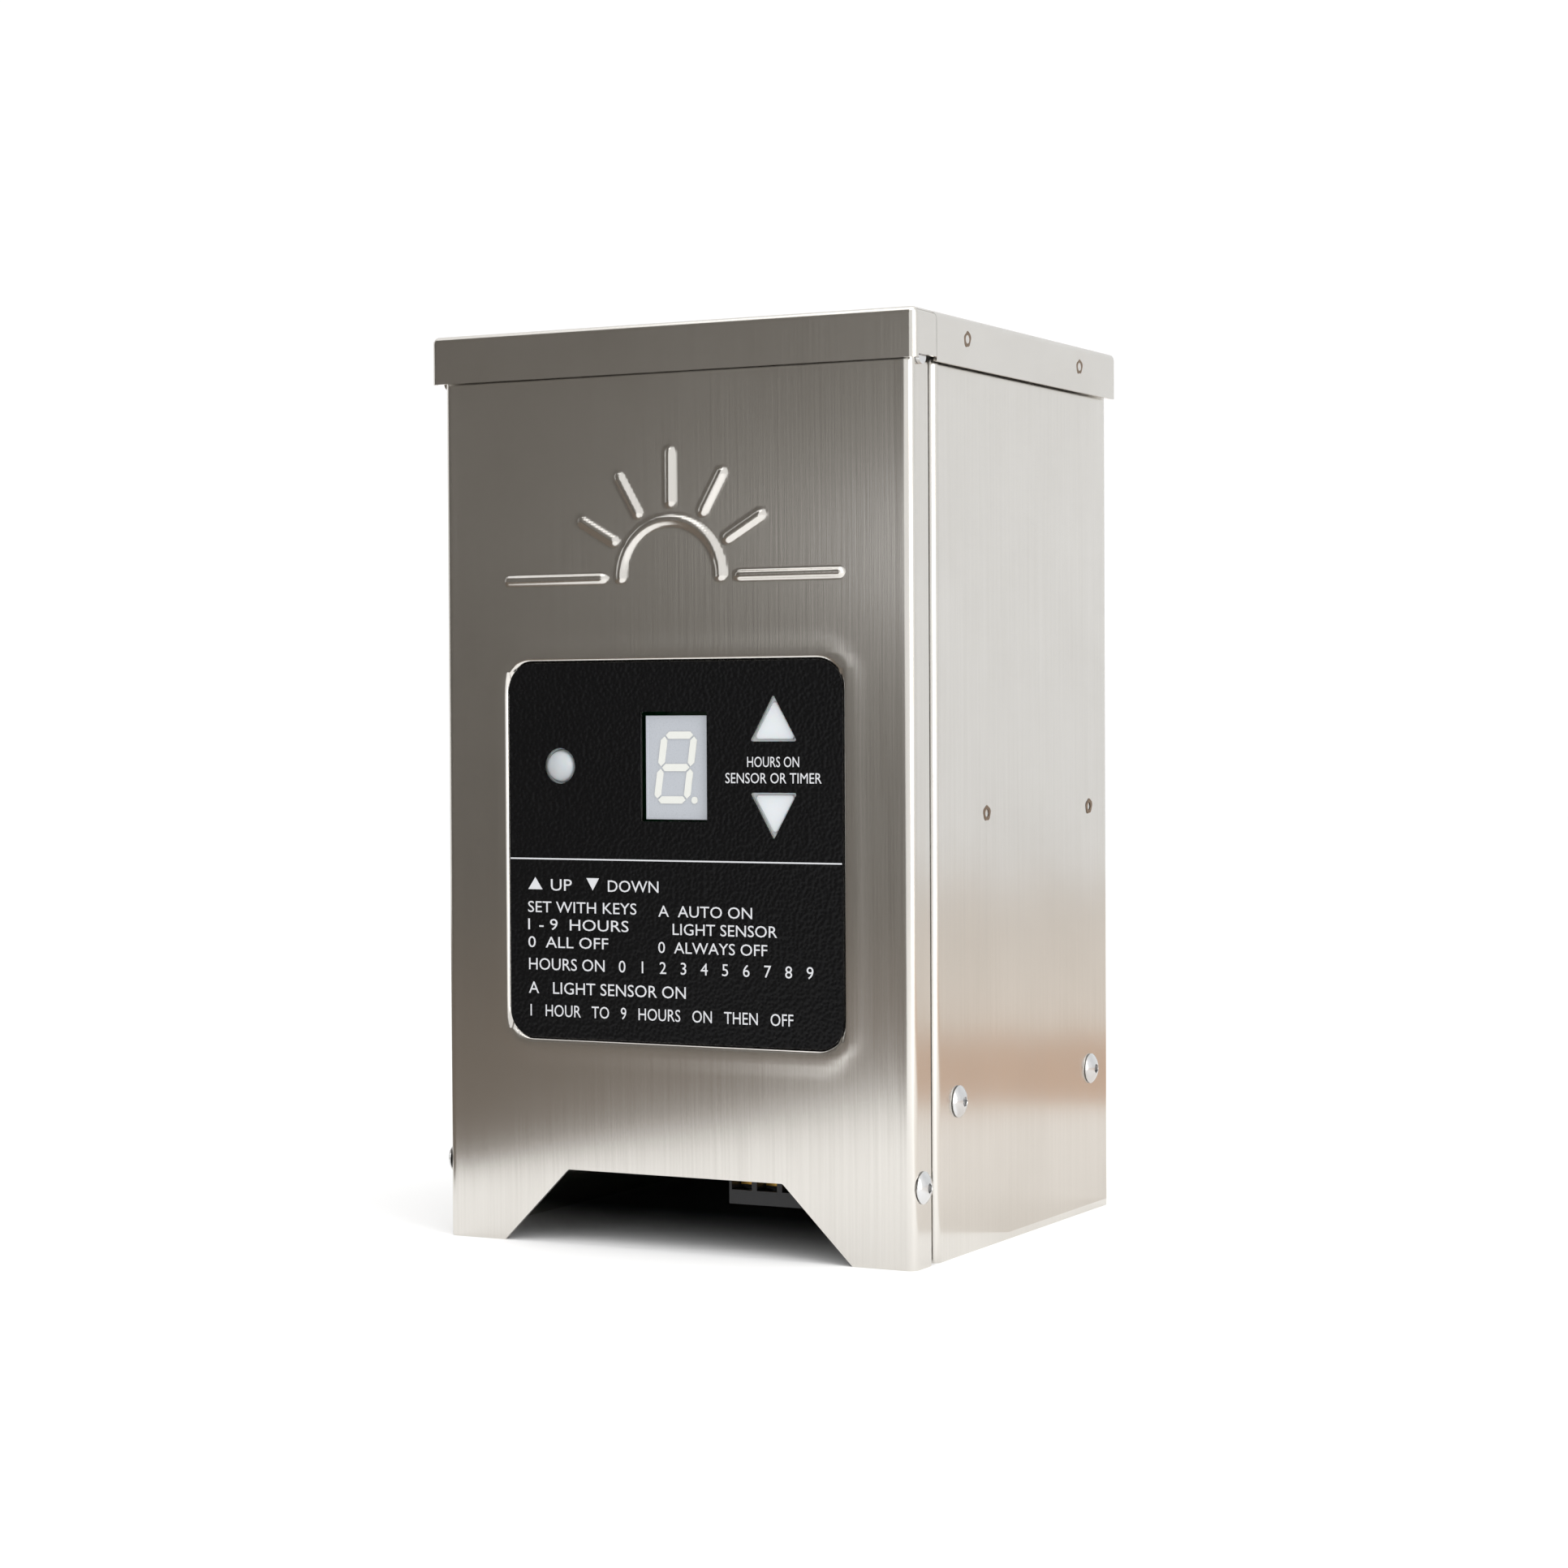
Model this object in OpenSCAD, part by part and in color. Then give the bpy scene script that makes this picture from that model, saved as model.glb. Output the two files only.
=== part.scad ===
// Low-voltage outdoor lighting transformer with a photocell timer.
// Origin: centre of the base. +Z up, the timer panel faces -Y, +X is to the viewer's right.
// Millimetres.

/* [Case] */
// Width across the two side panels
body_w = 150; // [140:1:170]
// Depth from the front of the cover to the wall face
body_d = 140; // [136:1:150]
// Height over the lid
height = 261; // [255:1:280]
// Thickness of all folded sheet
sheet = 1; // [0.8:0.1:1.2]
// Outer radius of the vertical bends
bend_r = 2.5; // [2.2:0.1:3]

/* [Lid] */
// Height of the lid's skirt
skirt_h = 13.8; // [12:0.2:16]
// How far the skirt stands out at each side
lid_side = 2.5; // [2.3:0.1:3]
// How far the skirt stands out in front
lid_front = 2.8; // [2.6:0.1:3.2]
// Outer radius of the lid's bends
lid_r = 2; // [1.5:0.1:2.5]

/* [Cover] */
// How far the cover's side flanges reach back
flange_d = 10.65; // [10:0.05:11]
// Height of the cable notch
notch_h = 21.5; // [18:0.5:24]
// Width of the cable notch at its top
notch_top_w = 69; // [60:1:76]
// Width of the cable notch at its foot
notch_foot_w = 112; // [104:1:116]
// Height that the pressed emblem's beads stand proud
bead_h = 0.9; // [0.5:0.1:1.2]
// Width of the pressed emblem's beads
bead_w = 2.6; // [2:0.1:3.2]

/* [Timer panel] */
// Width and height of the label
label_w = 107; // [104:1:110]
// Height of the label's lower edge
label_z = 59.2; // [56:0.2:62]
// Corner radius of the label
label_r = 7.5; // [6:0.5:9]
// Thickness of the label
label_t = 0.6; // [0.4:0.1:0.7]
// Radius of the lens hole in the label
lens_hole_r = 5.1; // [4.9:0.1:5.4]
// Travel of the two buttons
press = 0.8; // [0.5:0.1:0.9]

/* [Fasteners] */
// Shank diameter of the housing screws
screw_d = 4.2; // [4:0.1:4.4]
// Head diameter of the housing screws
screw_head_d = 9; // [8.4:0.1:9.4]
// Height of the housing screws' heads
screw_head_h = 2.5; // [2:0.1:2.8]

/* [Transformer] */
// Outer diameter of the winding
toroid_d = 104; // [96:1:104]
// Height of the winding
toroid_h = 48; // [40:1:52]

/* [Hidden] */

$fn = 48;
hair = 0.01;            // overlap that joins faces of one piece
cut = 1;                // how far a cutting tool runs past a face

// Planes of the case
half_w = body_w / 2;
front_y = -(body_d + lid_front) / 2 + lid_front;
back_y = front_y + body_d;
inner_x = half_w - sheet;
joggle_y = front_y + 14.6;          // front face of the side panels' inward step
joggle_depth = bend_r + 0.5;        // how far the step goes in
lip_out_x = half_w - joggle_depth;
lip_in_x = lip_out_x - sheet;
lip_front_y = front_y + 2;
skirt_z = height - skirt_h;
case_top = height - sheet;

// Cover and its pivot
pivot_y = front_y + 4.5;
pivot_z = skirt_z + 1.1;
pin_r = 1.5;
pin_play = 0.05;
cover_top = pivot_z + 0.6;
ear_top = cover_top + 4;
ear_front_y = front_y + bend_r;

// Housing screws
screw_z = 43.3;
screw_ys = [front_y + 28.8, front_y + 125.2];
cover_screw_y = front_y + 5.2;
cover_screw_z = 22.2;
cover_screw_gap = 0.1;              // play that lets the cover slide under its screw heads
screw_len = 9;
nut_t = 3;
nut_af = 7;

// Inner plates
shelf_z = 115;
shelf_y0 = front_y + 30;
plate_z = 36;
plate_y0 = joggle_y + 1.5;
plates_y1 = back_y - sheet - 0.4;
flanges_y1 = back_y - bend_r;  // the flanges end before the case's rear bend
flange_h = 14;
toroid_y = shelf_y0 + 54.1;
bolt_r = 3;
pad_t = 2;
clamp_t = 2;
pad_z = shelf_z + sheet;
winding_z = pad_z + pad_t;
clamp_z = winding_z + toroid_h + pad_t;

// Places on the bottom plate
bush_xy = [-50, 42];
plug_xy = [-50, 8];
breaker_xy = [-16, 10];
earth_xy = [-58, -28];
grommet_xy = [58, shelf_y0 + 9];
bush_r = 8;
bush_bore_r = 4;
breaker_r = 5.5;

// Terminal block
pole_count = 6;
pole_pitch = 8;
block_x0 = 11;
block_y0 = front_y + 12.6;
block_d = 14;
block_z0 = 13;

// Timer panel
panel_y = front_y + 0.8;            // floor of the pressed recess
recess_gap = 0.25;
label_cz = label_z + label_w / 2;
lens_xz = [-36.6, 136.9];
window_x = [-10.3, 11.3];
window_z = [121.3, 152.2];
display_x = [-8.9, 11.1];
display_z = [121.9, 151.1];
display_y = panel_y - label_t + 1.2;
arrow_x = 32.2;
arrow_half = 7.4;
arrow_h = 13.2;
up_base_z = 143.8;
down_base_z = 129.6;
board_y = panel_y + 9.8;
board_t = 1.6;
board_w = 96;
board_z = [72, 160];
board_back = board_y + board_t;
button_face_y = panel_y + 0.4;
button_flange_y = panel_y + sheet + 0.1;
button_back_y = button_flange_y + 1.6;
stem_end_y = button_back_y + 1.8;
switch_y = stem_end_y + press + 0.1;
plunger_r = 1.7;
plunger_end_y = board_y - press - 0.3;

// ---------- shared shapes ----------

// A box between two corners
module block(low, high) {
    translate(low) cube(high - low);
}

// A quarter of a ring in the plane: outer radius r, thickness t, quadrant given by two signs
module quarter_ring(r, t, sx, sy) {
    intersection() {
        difference() {
            circle(r);
            circle(r - t);
        }
        translate([sx > 0 ? 0 : -r, sy > 0 ? 0 : -r]) square(r);
    }
}

// A rectangle with round corners, centred
module round_rect(w, h, r) {
    square([w - 2 * r, h], center = true);
    square([w, h - 2 * r], center = true);
    for (sx = [-1, 1], sy = [-1, 1])
        translate([sx * (w / 2 - r), sy * (h / 2 - r)]) circle(r);
}

// Turns a plane figure drawn in x and z into a plate from depth y0 to y1
module plate_xz(y0, y1) {
    translate([0, y1, 0]) rotate([90, 0, 0]) linear_extrude(y1 - y0) children();
}

// Both sides of the case
module both_sides() {
    children();
    mirror([1, 0, 0]) children();
}

// A cylinder along x from x0 to x1
module rod_x(r, x0, x1) {
    translate([x0, 0, 0]) rotate([0, 90, 0]) cylinder(r = r, h = x1 - x0);
}

// A cylinder along y from y0 to y1
module rod_y(r, y0, y1) {
    translate([0, y0, 0]) rotate([-90, 0, 0]) cylinder(r = r, h = y1 - y0);
}

// A hexagonal prism along z, centred on the axis
module hexagon(across_flats, h) {
    cylinder(d = across_flats / cos(30), h = h, $fn = 6);
}

// Points of a smooth curve through a route (Catmull-Rom), with the given steps in each span
function spline_point(a, b, c, d, t) =
    0.5 * (2 * b + (c - a) * t + (2 * a - 5 * b + 4 * c - d) * t * t
           + (3 * b - a - 3 * c + d) * t * t * t);

function smooth(route, steps) = let (last = len(route) - 1) concat(
    [for (i = [0 : last - 1], k = [0 : steps - 1])
        spline_point(route[max(i - 1, 0)], route[i], route[i + 1], route[min(i + 2, last)],
                     k / steps)],
    [route[last]]);

function unit(v) = v / norm(v);

// One ring of the tube's skin: square to the run from point a to point c, centred on b
function wire_ring(a, b, c, r, sides) =
    let (run = unit(c - a), u = unit(cross(run, [1, 0, 0])), v = cross(run, u))
    [for (k = [0 : sides - 1]) b + r * (u * cos(360 * k / sides) + v * sin(360 * k / sides))];

// A round wire along a route that never runs straight along x
module wire(route, r) {
    sides = 8;
    path = smooth(route, 3);
    last = len(path) - 1;
    skin = [for (i = [0 : last])
        each wire_ring(path[max(i - 1, 0)], path[i], path[min(i + 1, last)], r, sides)];
    walls = [for (i = [0 : last - 1], k = [0 : sides - 1]) let (n = (k + 1) % sides)
        each [[i * sides + k, i * sides + n, (i + 1) * sides + n],
              [i * sides + k, (i + 1) * sides + n, (i + 1) * sides + k]]];
    first_end = [for (k = [sides - 1 : -1 : 0]) k];
    last_end = [for (k = [0 : sides - 1]) last * sides + k];
    polyhedron(points = skin, faces = concat(walls, [first_end, last_end]));
}

// The places of the six housing screws on the right side: [y, z, underside of the head]
side_screws = [
    [screw_ys[0], screw_z, half_w],
    [screw_ys[1], screw_z, half_w],
    [cover_screw_y, cover_screw_z, half_w + cover_screw_gap],
];

// A triangular arrow pointing up, with its base on z = 0; r rounds its corners
module arrow(half, h, r) {
    hull() {
        translate([-half + r * 1.6, r]) circle(r, $fn = 24);
        translate([half - r * 1.6, r]) circle(r, $fn = 24);
        translate([0, h - r * 2.1]) circle(r, $fn = 24);
    }
}

// ---------- case ----------

// Plan of the folded case, right half: rear bend, side, inward step and front lip
module case_plan() {
    translate([0, back_y - sheet]) square([half_w - bend_r, sheet]);
    translate([half_w - bend_r, back_y - bend_r]) quarter_ring(bend_r, sheet, 1, 1);
    translate([inner_x, joggle_y + bend_r]) square([sheet, back_y - joggle_y - 2 * bend_r]);
    translate([half_w - bend_r, joggle_y + bend_r]) quarter_ring(bend_r, sheet, 1, -1);
    translate([half_w - bend_r, joggle_y - 0.5]) quarter_ring(sheet + 0.5, sheet, -1, 1);
    translate([lip_in_x, lip_front_y]) square([sheet, joggle_y - 0.5 - lip_front_y]);
}

wall_hole_r = 2.75;
wall_x = 40;
wall_low_z = 15;
keyhole_r = 5;
keyhole_z = 222;

module keyhole() {
    circle(keyhole_r);
    translate([-wall_hole_r, 0]) square([2 * wall_hole_r, 9]);
    translate([0, 9]) circle(wall_hole_r);
}

module case_shell() {
    color("lightgray")
    difference() {
        linear_extrude(case_top) {
            case_plan();
            mirror([1, 0]) case_plan();
        }
        for (sx = [-1, 1]) {
            translate([sx * wall_x, 0, wall_low_z])
                rod_y(wall_hole_r, back_y - sheet - cut, back_y + cut);
            plate_xz(back_y - sheet - cut, back_y + cut)
                translate([sx * wall_x, keyhole_z]) keyhole();
        }
        both_sides() {
            for (s = side_screws)
                translate([0, s[0], s[1]]) rod_x(screw_d / 2 + 0.15, lip_in_x - cut, half_w + cut);
            translate([0, pivot_y, pivot_z]) rod_x(pin_r, lip_in_x - cut, half_w);
        }
    }
}

module case_lid_section(x, top, r, y0, y1) {
    // An upturned U's outer outline, extruded along y
    translate([0, y1, 0]) rotate([90, 0, 0]) linear_extrude(y1 - y0) {
        translate([-x, skirt_z]) square([2 * x, top - r - skirt_z]);
        translate([-x + r, skirt_z]) square([2 * (x - r), top - skirt_z]);
        for (sx = [-1, 1]) translate([sx * (x - r), top - r]) circle(r);
    }
}

module lid_front_round(front, top, r) {
    // Everything behind the lid's rounded front edge
    rotate([90, 0, 90]) translate([0, 0, -body_w]) linear_extrude(2 * body_w) {
        translate([front, 0]) square([body_d * 2, top - r]);
        translate([front + r, 0]) square([body_d * 2, top]);
        translate([front + r, top - r]) circle(r);
    }
}

module lid() {
    out_x = half_w + lid_side;
    out_y = front_y - lid_front;
    rear_y = back_y - sheet - 0.1;
    color("gainsboro") {
        difference() {
            intersection() {
                case_lid_section(out_x, height, lid_r, out_y, back_y);
                lid_front_round(out_y, height, lid_r);
            }
            intersection() {
                translate([0, 0, -hair])
                    case_lid_section(out_x - sheet, height - sheet + hair, lid_r - sheet,
                                     out_y + sheet, back_y + cut);
                lid_front_round(out_y + sheet, height - sheet, lid_r - sheet);
            }
            // the back panel's top edge shows behind the lid's rear bend
            block([-out_x + lid_r, rear_y, skirt_z], [out_x - lid_r, back_y + cut, height + cut]);
        }
        // rear flange, folded down inside the back panel
        block([-half_w + 5, rear_y - sheet, height - 11], [half_w - 5, rear_y, height - sheet + hair]);
    }
}

module lid_spacers() {
    color("silver")
    both_sides()
        block([half_w, front_y + 24, skirt_z + 1.8],
              [half_w + lid_side - sheet, back_y - 8, height - sheet - 1]);
}

module transformer_shelf() {
    edge_r = bend_r - 0.5;
    color("silver")
    difference() {
        union() {
            block([-inner_x + edge_r, shelf_y0, shelf_z],
                  [inner_x - edge_r, plates_y1, shelf_z + sheet]);
            both_sides() {
                translate([inner_x - edge_r, flanges_y1, shelf_z + edge_r])
                    rotate([90, 0, 0]) linear_extrude(flanges_y1 - shelf_y0)
                        quarter_ring(edge_r, sheet, 1, -1);
                block([inner_x - sheet, shelf_y0, shelf_z + edge_r],
                      [inner_x, flanges_y1, shelf_z + flange_h]);
            }
        }
        translate([0, toroid_y, shelf_z - cut]) cylinder(r = bolt_r + 0.2, h = sheet + 2 * cut);
        translate([grommet_xy.x, grommet_xy.y, shelf_z - cut]) cylinder(r = 6, h = sheet + 2 * cut);
    }
}

module bottom_plate() {
    edge_r = bend_r - 0.5;
    color("silver")
    difference() {
        union() {
            block([-inner_x + edge_r, plate_y0, plate_z],
                  [inner_x - edge_r, plates_y1, plate_z + sheet]);
            both_sides() {
                translate([inner_x - edge_r, flanges_y1, plate_z + edge_r])
                    rotate([90, 0, 0]) linear_extrude(flanges_y1 - plate_y0)
                        quarter_ring(edge_r, sheet, 1, -1);
                block([inner_x - sheet, plate_y0, plate_z + edge_r],
                      [inner_x, flanges_y1, plate_z + flange_h]);
            }
        }
        both_sides()
            for (y = screw_ys)
                translate([0, y, screw_z])
                    rod_x(screw_d / 2 + 0.15, inner_x - sheet - cut, inner_x + cut);
        for (p = [bush_xy, plug_xy])
            translate([p.x, p.y, plate_z - cut]) cylinder(r = bush_r, h = sheet + 2 * cut);
        translate([breaker_xy.x, breaker_xy.y, plate_z - cut])
            cylinder(r = breaker_r + 0.1, h = sheet + 2 * cut);
        translate([lead_slot.x, lead_slot.y, plate_z - cut])
            cylinder(r = lead_slot_r, h = sheet + 2 * cut);
        translate([earth_xy.x, earth_xy.y, plate_z - cut])
            cylinder(r = earth_r, h = sheet + 2 * cut);
    }
}

lead_slot = [36, block_y0 + block_d + 12];
lead_slot_r = 8;
earth_r = 2.5;

// A button-head screw along x: the head's underside at x = 0, shank towards -x
module button_screw() {
    head_r = screw_head_d / 2;
    dome_r = (head_r * head_r + screw_head_h * screw_head_h) / (2 * screw_head_h);
    difference() {
        rotate([0, 90, 0]) {
            rotate_extrude() intersection() {
                translate([0, screw_head_h - dome_r]) circle(dome_r, $fn = 96);
                square([head_r, screw_head_h]);
            }
            translate([0, 0, -screw_len]) cylinder(d = screw_d, h = screw_len + hair);
        }
        translate([screw_head_h - 1.5, 0, 0]) rotate([0, 90, 0]) hexagon(2.5, 3);
    }
}

module housing_screws() {
    color("white")
    both_sides()
        for (s = side_screws) translate([s[2], s[0], s[1]]) button_screw();
}

module housing_nuts() {
    color("silver")
    both_sides()
        for (s = side_screws) {
            face_x = s[2] > half_w ? lip_in_x : inner_x - sheet;
            translate([face_x - nut_t, s[0], s[1]]) rotate([0, 90, 0])
                difference() {
                    hexagon(nut_af, nut_t);
                    translate([0, 0, -cut]) cylinder(r = screw_d / 2 + 0.05, h = nut_t + 2 * cut);
                }
        }
}

module cover_spacers() {
    color("whitesmoke")
    both_sides()
        translate([0, cover_screw_y, cover_screw_z])
            difference() {
                rod_x(2.9, lip_out_x, inner_x - cover_screw_gap);
                rod_x(screw_d / 2 + 0.15, lip_out_x - cut, inner_x + cut);
            }
}

module pivot_pins() {
    color("silver")
    both_sides()
        translate([0, pivot_y, pivot_z]) {
            rod_x(2.1, lip_in_x - 1, lip_in_x);
            rod_x(pin_r, lip_in_x - hair, half_w + 0.2);
            rod_x(2.4, lip_out_x, inner_x - 0.1);
            rod_x(2.4, half_w + 0.1, half_w + 1.2);
        }
}

// ---------- transformer ----------

// Revolved ring section with rounded corners
module ring(r_in, r_out, z0, z1, r) {
    rotate_extrude($fn = 96)
        translate([(r_in + r_out) / 2, (z0 + z1) / 2]) round_rect(r_out - r_in, z1 - z0, r);
}

winding_in_r = 18;
core_wall = 8;

module toroid_core() {
    color("dimgray")
    translate([0, toroid_y, 0])
        ring(winding_in_r + core_wall, toroid_d / 2 - core_wall,
             winding_z + core_wall, winding_z + toroid_h - core_wall, 1);
}

module toroid_winding() {
    color("darkgoldenrod")
    translate([0, toroid_y, 0])
        difference() {
            ring(winding_in_r, toroid_d / 2, winding_z, winding_z + toroid_h, 10);
            ring(winding_in_r + core_wall, toroid_d / 2 - core_wall,
                 winding_z + core_wall, winding_z + toroid_h - core_wall, 1);
        }
}

module toroid_pads() {
    color("black")
    for (z = [pad_z, winding_z + toroid_h])
        translate([0, toroid_y, z]) difference() {
            cylinder(r = 44, h = pad_t);
            translate([0, 0, -cut]) cylinder(r = bolt_r + 0.2, h = pad_t + 2 * cut);
        }
}

module clamp_plate() {
    color("silver")
    translate([0, toroid_y, clamp_z]) difference() {
        cylinder(r = 34, h = clamp_t);
        translate([0, 0, -cut]) cylinder(r = bolt_r + 0.2, h = clamp_t + 2 * cut);
    }
}

module toroid_bolt() {
    color("silver")
    translate([0, toroid_y, 0]) {
        translate([0, 0, shelf_z - 4]) hexagon(10, 4);
        translate([0, 0, shelf_z - hair]) cylinder(r = bolt_r, h = clamp_z + clamp_t + 9 - shelf_z);
    }
}

module toroid_nut() {
    color("silver")
    translate([0, toroid_y, clamp_z + clamp_t]) difference() {
        hexagon(10, 5);
        translate([0, 0, -cut]) cylinder(r = bolt_r + 0.05, h = 5 + 2 * cut);
    }
}

// ---------- wiring bay ----------

module terminal_block() {
    color("#202020")
    difference() {
        block([block_x0, block_y0, block_z0],
              [block_x0 + pole_count * pole_pitch, block_y0 + block_d, plate_z]);
        for (i = [0 : pole_count - 1]) {
            // an open cell for each pole, with a wire entry underneath
            x = block_x0 + i * pole_pitch + 0.8;
            block([x, block_y0 - cut, block_z0 + 4], [x + pole_pitch - 1.6, block_y0 + 6, plate_z - 4]);
            translate([x + pole_pitch / 2 - 0.8, block_y0 + 4, block_z0 - cut])
                cylinder(r = 1.9, h = 4 + 2 * cut);
        }
    }
}

module terminal_plates() {
    color("goldenrod")
    for (i = [0 : pole_count - 1]) {
        x = block_x0 + (i + 0.5) * pole_pitch;
        block([x - 2.8, block_y0 + 5, block_z0 + 5], [x + 2.8, block_y0 + 6, plate_z - 5]);
    }
}

module terminal_screws() {
    color("silver")
    for (i = [0 : pole_count - 1])
        translate([block_x0 + (i + 0.5) * pole_pitch, 0, (block_z0 + plate_z) / 2])
            difference() {
                rod_y(2.7, block_y0 + 2.6, block_y0 + 5);
                block([-3, block_y0 + 2.6 - cut, -0.4], [3, block_y0 + 3.6, 0.4]);
            }
}

module at_breaker(z) {
    translate([breaker_xy.x, breaker_xy.y, z]) children();
}

module breaker_body() {
    color("#181818")
    difference() {
        union() {
            at_breaker(plate_z + sheet) translate([-8, -16, 0]) cube([16, 32, 26]);
            at_breaker(plate_z - 8) cylinder(r = breaker_r, h = 8 + sheet + hair);
        }
        at_breaker(plate_z - 8 - cut) cylinder(r = 3.5, h = 16 + cut);
    }
}

module breaker_nut() {
    color("silver")
    at_breaker(plate_z - 2.5) difference() {
        hexagon(15, 2.5);
        translate([0, 0, -cut]) cylinder(r = breaker_r + 0.05, h = 2.5 + 2 * cut);
    }
}

module breaker_button() {
    color("red")
    at_breaker(plate_z - 12) {
        cylinder(r = 3.42, h = 14);
        cylinder(r = 2.6, h = 18);
    }
}

module cord_bush() {
    color("#151515")
    translate([bush_xy.x, bush_xy.y, 0]) difference() {
        union() {
            translate([0, 0, plate_z - 2.5]) cylinder(r = 10.5, h = 2.5);
            translate([0, 0, plate_z - hair]) cylinder(r = bush_r - 0.1, h = 12);
            translate([0, 0, plate_z + sheet]) cylinder(r = bush_r + 0.8, h = 2);
        }
        translate([0, 0, plate_z - 2.5 - cut]) cylinder(r = bush_bore_r, h = 16);
    }
}

module hole_plug() {
    color("#151515")
    translate([plug_xy.x, plug_xy.y, 0]) {
        translate([0, 0, plate_z - 1.5]) cylinder(r = 10.5, h = 1.5);
        translate([0, 0, plate_z - hair]) cylinder(r = bush_r - 0.1, h = 4);
        translate([0, 0, plate_z + sheet]) cylinder(r = bush_r + 0.6, h = 1.5);
    }
}

module shelf_grommet() {
    color("#151515")
    translate([grommet_xy.x, grommet_xy.y, shelf_z - 2]) difference() {
        union() {
            cylinder(r = 8, h = 2);
            cylinder(r = 5.9, h = 4 + sheet);
            translate([0, 0, 2 + sheet]) cylinder(r = 8, h = 2);
        }
        translate([0, 0, -cut]) cylinder(r = 4.4, h = 8);
    }
}

module earth_stud() {
    color("silver")
    translate([earth_xy.x, earth_xy.y, 0]) {
        translate([0, 0, 20]) cylinder(r = earth_r, h = plate_z + sheet - 20);
        translate([0, 0, plate_z + sheet - hair]) cylinder(r = 4, h = 1.2);
    }
}

module earth_nuts() {
    color("goldenrod")
    for (z = [plate_z - 4, plate_z - 9])
        translate([earth_xy.x, earth_xy.y, z]) difference() {
            hexagon(8, 4);
            translate([0, 0, -cut]) cylinder(r = earth_r + 0.05, h = 4 + 2 * cut);
        }
}

// Mains leads: from the cord bush to the breaker and to the winding
lead_r = 1.5;
mains_route_a = [
    [-50, 42, 52], [-50, 42, 60], [-38, 34, 70], [-24, 22, 72], [-16, 14, 68], [-16, 12, 63.2],
];
mains_route_b = [
    [-54, 42, 52], [-54, 42, 66], [-56, 20, 84], [-56, -10, 100], [-56, -43, 112],
    [-56, -43, 128], [-50, -38, 138], [-42.5, -20, 142],
];

module mains_leads() {
    color("#303030")
    for (route = [mains_route_a, mains_route_b]) wire(route, lead_r);
}

// Low-voltage leads: from the winding through the grommet and the plate to the terminals
low_route = [
    [42.5, -18, 142], [52, -26, 134], [58, grommet_xy.y, 124], [58, grommet_xy.y, 108],
    [52, -28, 80], [42, -29, 56], [lead_slot.x, lead_slot.y, 44], [lead_slot.x, lead_slot.y, 31],
];
low_lead_r = 1.3;
low_lead_gap = 1.9;

module low_voltage_leads() {
    color("firebrick")
    for (sx = [-1, 1])
        wire([for (p = low_route) p + sx * low_lead_gap * [1, 0.35, 0]], low_lead_r);
}

// ---------- cover ----------

// Plan of the folded cover, right half
module cover_plan() {
    translate([0, front_y]) square([half_w - bend_r, sheet]);
    translate([half_w - bend_r, front_y + bend_r]) quarter_ring(bend_r, sheet, 1, -1);
    translate([inner_x, front_y + bend_r]) square([sheet, flange_d - bend_r]);
}

// Emblem: a rising sun over a horizon, pressed out of the sheet as round-ended beads
sun_z = 190;
sun_r = 16;
ray_in = 21;
ray_out = 33;
horizon = [22, 53];

module bead_line(from, to) {
    step = to - from;
    run = norm(step);
    translate(from) rotate(atan2(step.y, step.x)) {
        translate([0, -bead_w / 2]) square([run, bead_w]);
        circle(bead_w / 2);
        translate([run, 0]) circle(bead_w / 2);
    }
}

module emblem() {
    translate([0, sun_z]) {
        difference() {
            circle(sun_r + bead_w / 2, $fn = 96);
            circle(sun_r - bead_w / 2, $fn = 96);
            translate([-2 * sun_r, -4 * sun_r]) square(4 * sun_r);
        }
        for (sx = [-1, 1]) {
            translate([sx * sun_r, 0]) circle(bead_w / 2);
            bead_line([sx * horizon[0], 0], [sx * horizon[1], 0]);
        }
        for (a = [30 : 30 : 150])
            bead_line(ray_in * [cos(a), sin(a)], (a == 90 ? ray_out + 2 : ray_out) * [cos(a), sin(a)]);
    }
}

// Openings of the label and of the recess floor, in x and z; grow widens them
module panel_openings(grow) {
    translate(lens_xz) circle(lens_hole_r + grow);
    translate([window_x[0] - grow, window_z[0] - grow])
        square([window_x[1] - window_x[0] + 2 * grow, window_z[1] - window_z[0] + 2 * grow]);
    translate([arrow_x, up_base_z - grow]) arrow(arrow_half + grow, arrow_h + 2 * grow, 0.5);
    translate([arrow_x, down_base_z + grow]) mirror([0, 1])
        arrow(arrow_half + grow, arrow_h + 2 * grow, 0.5);
}

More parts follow.
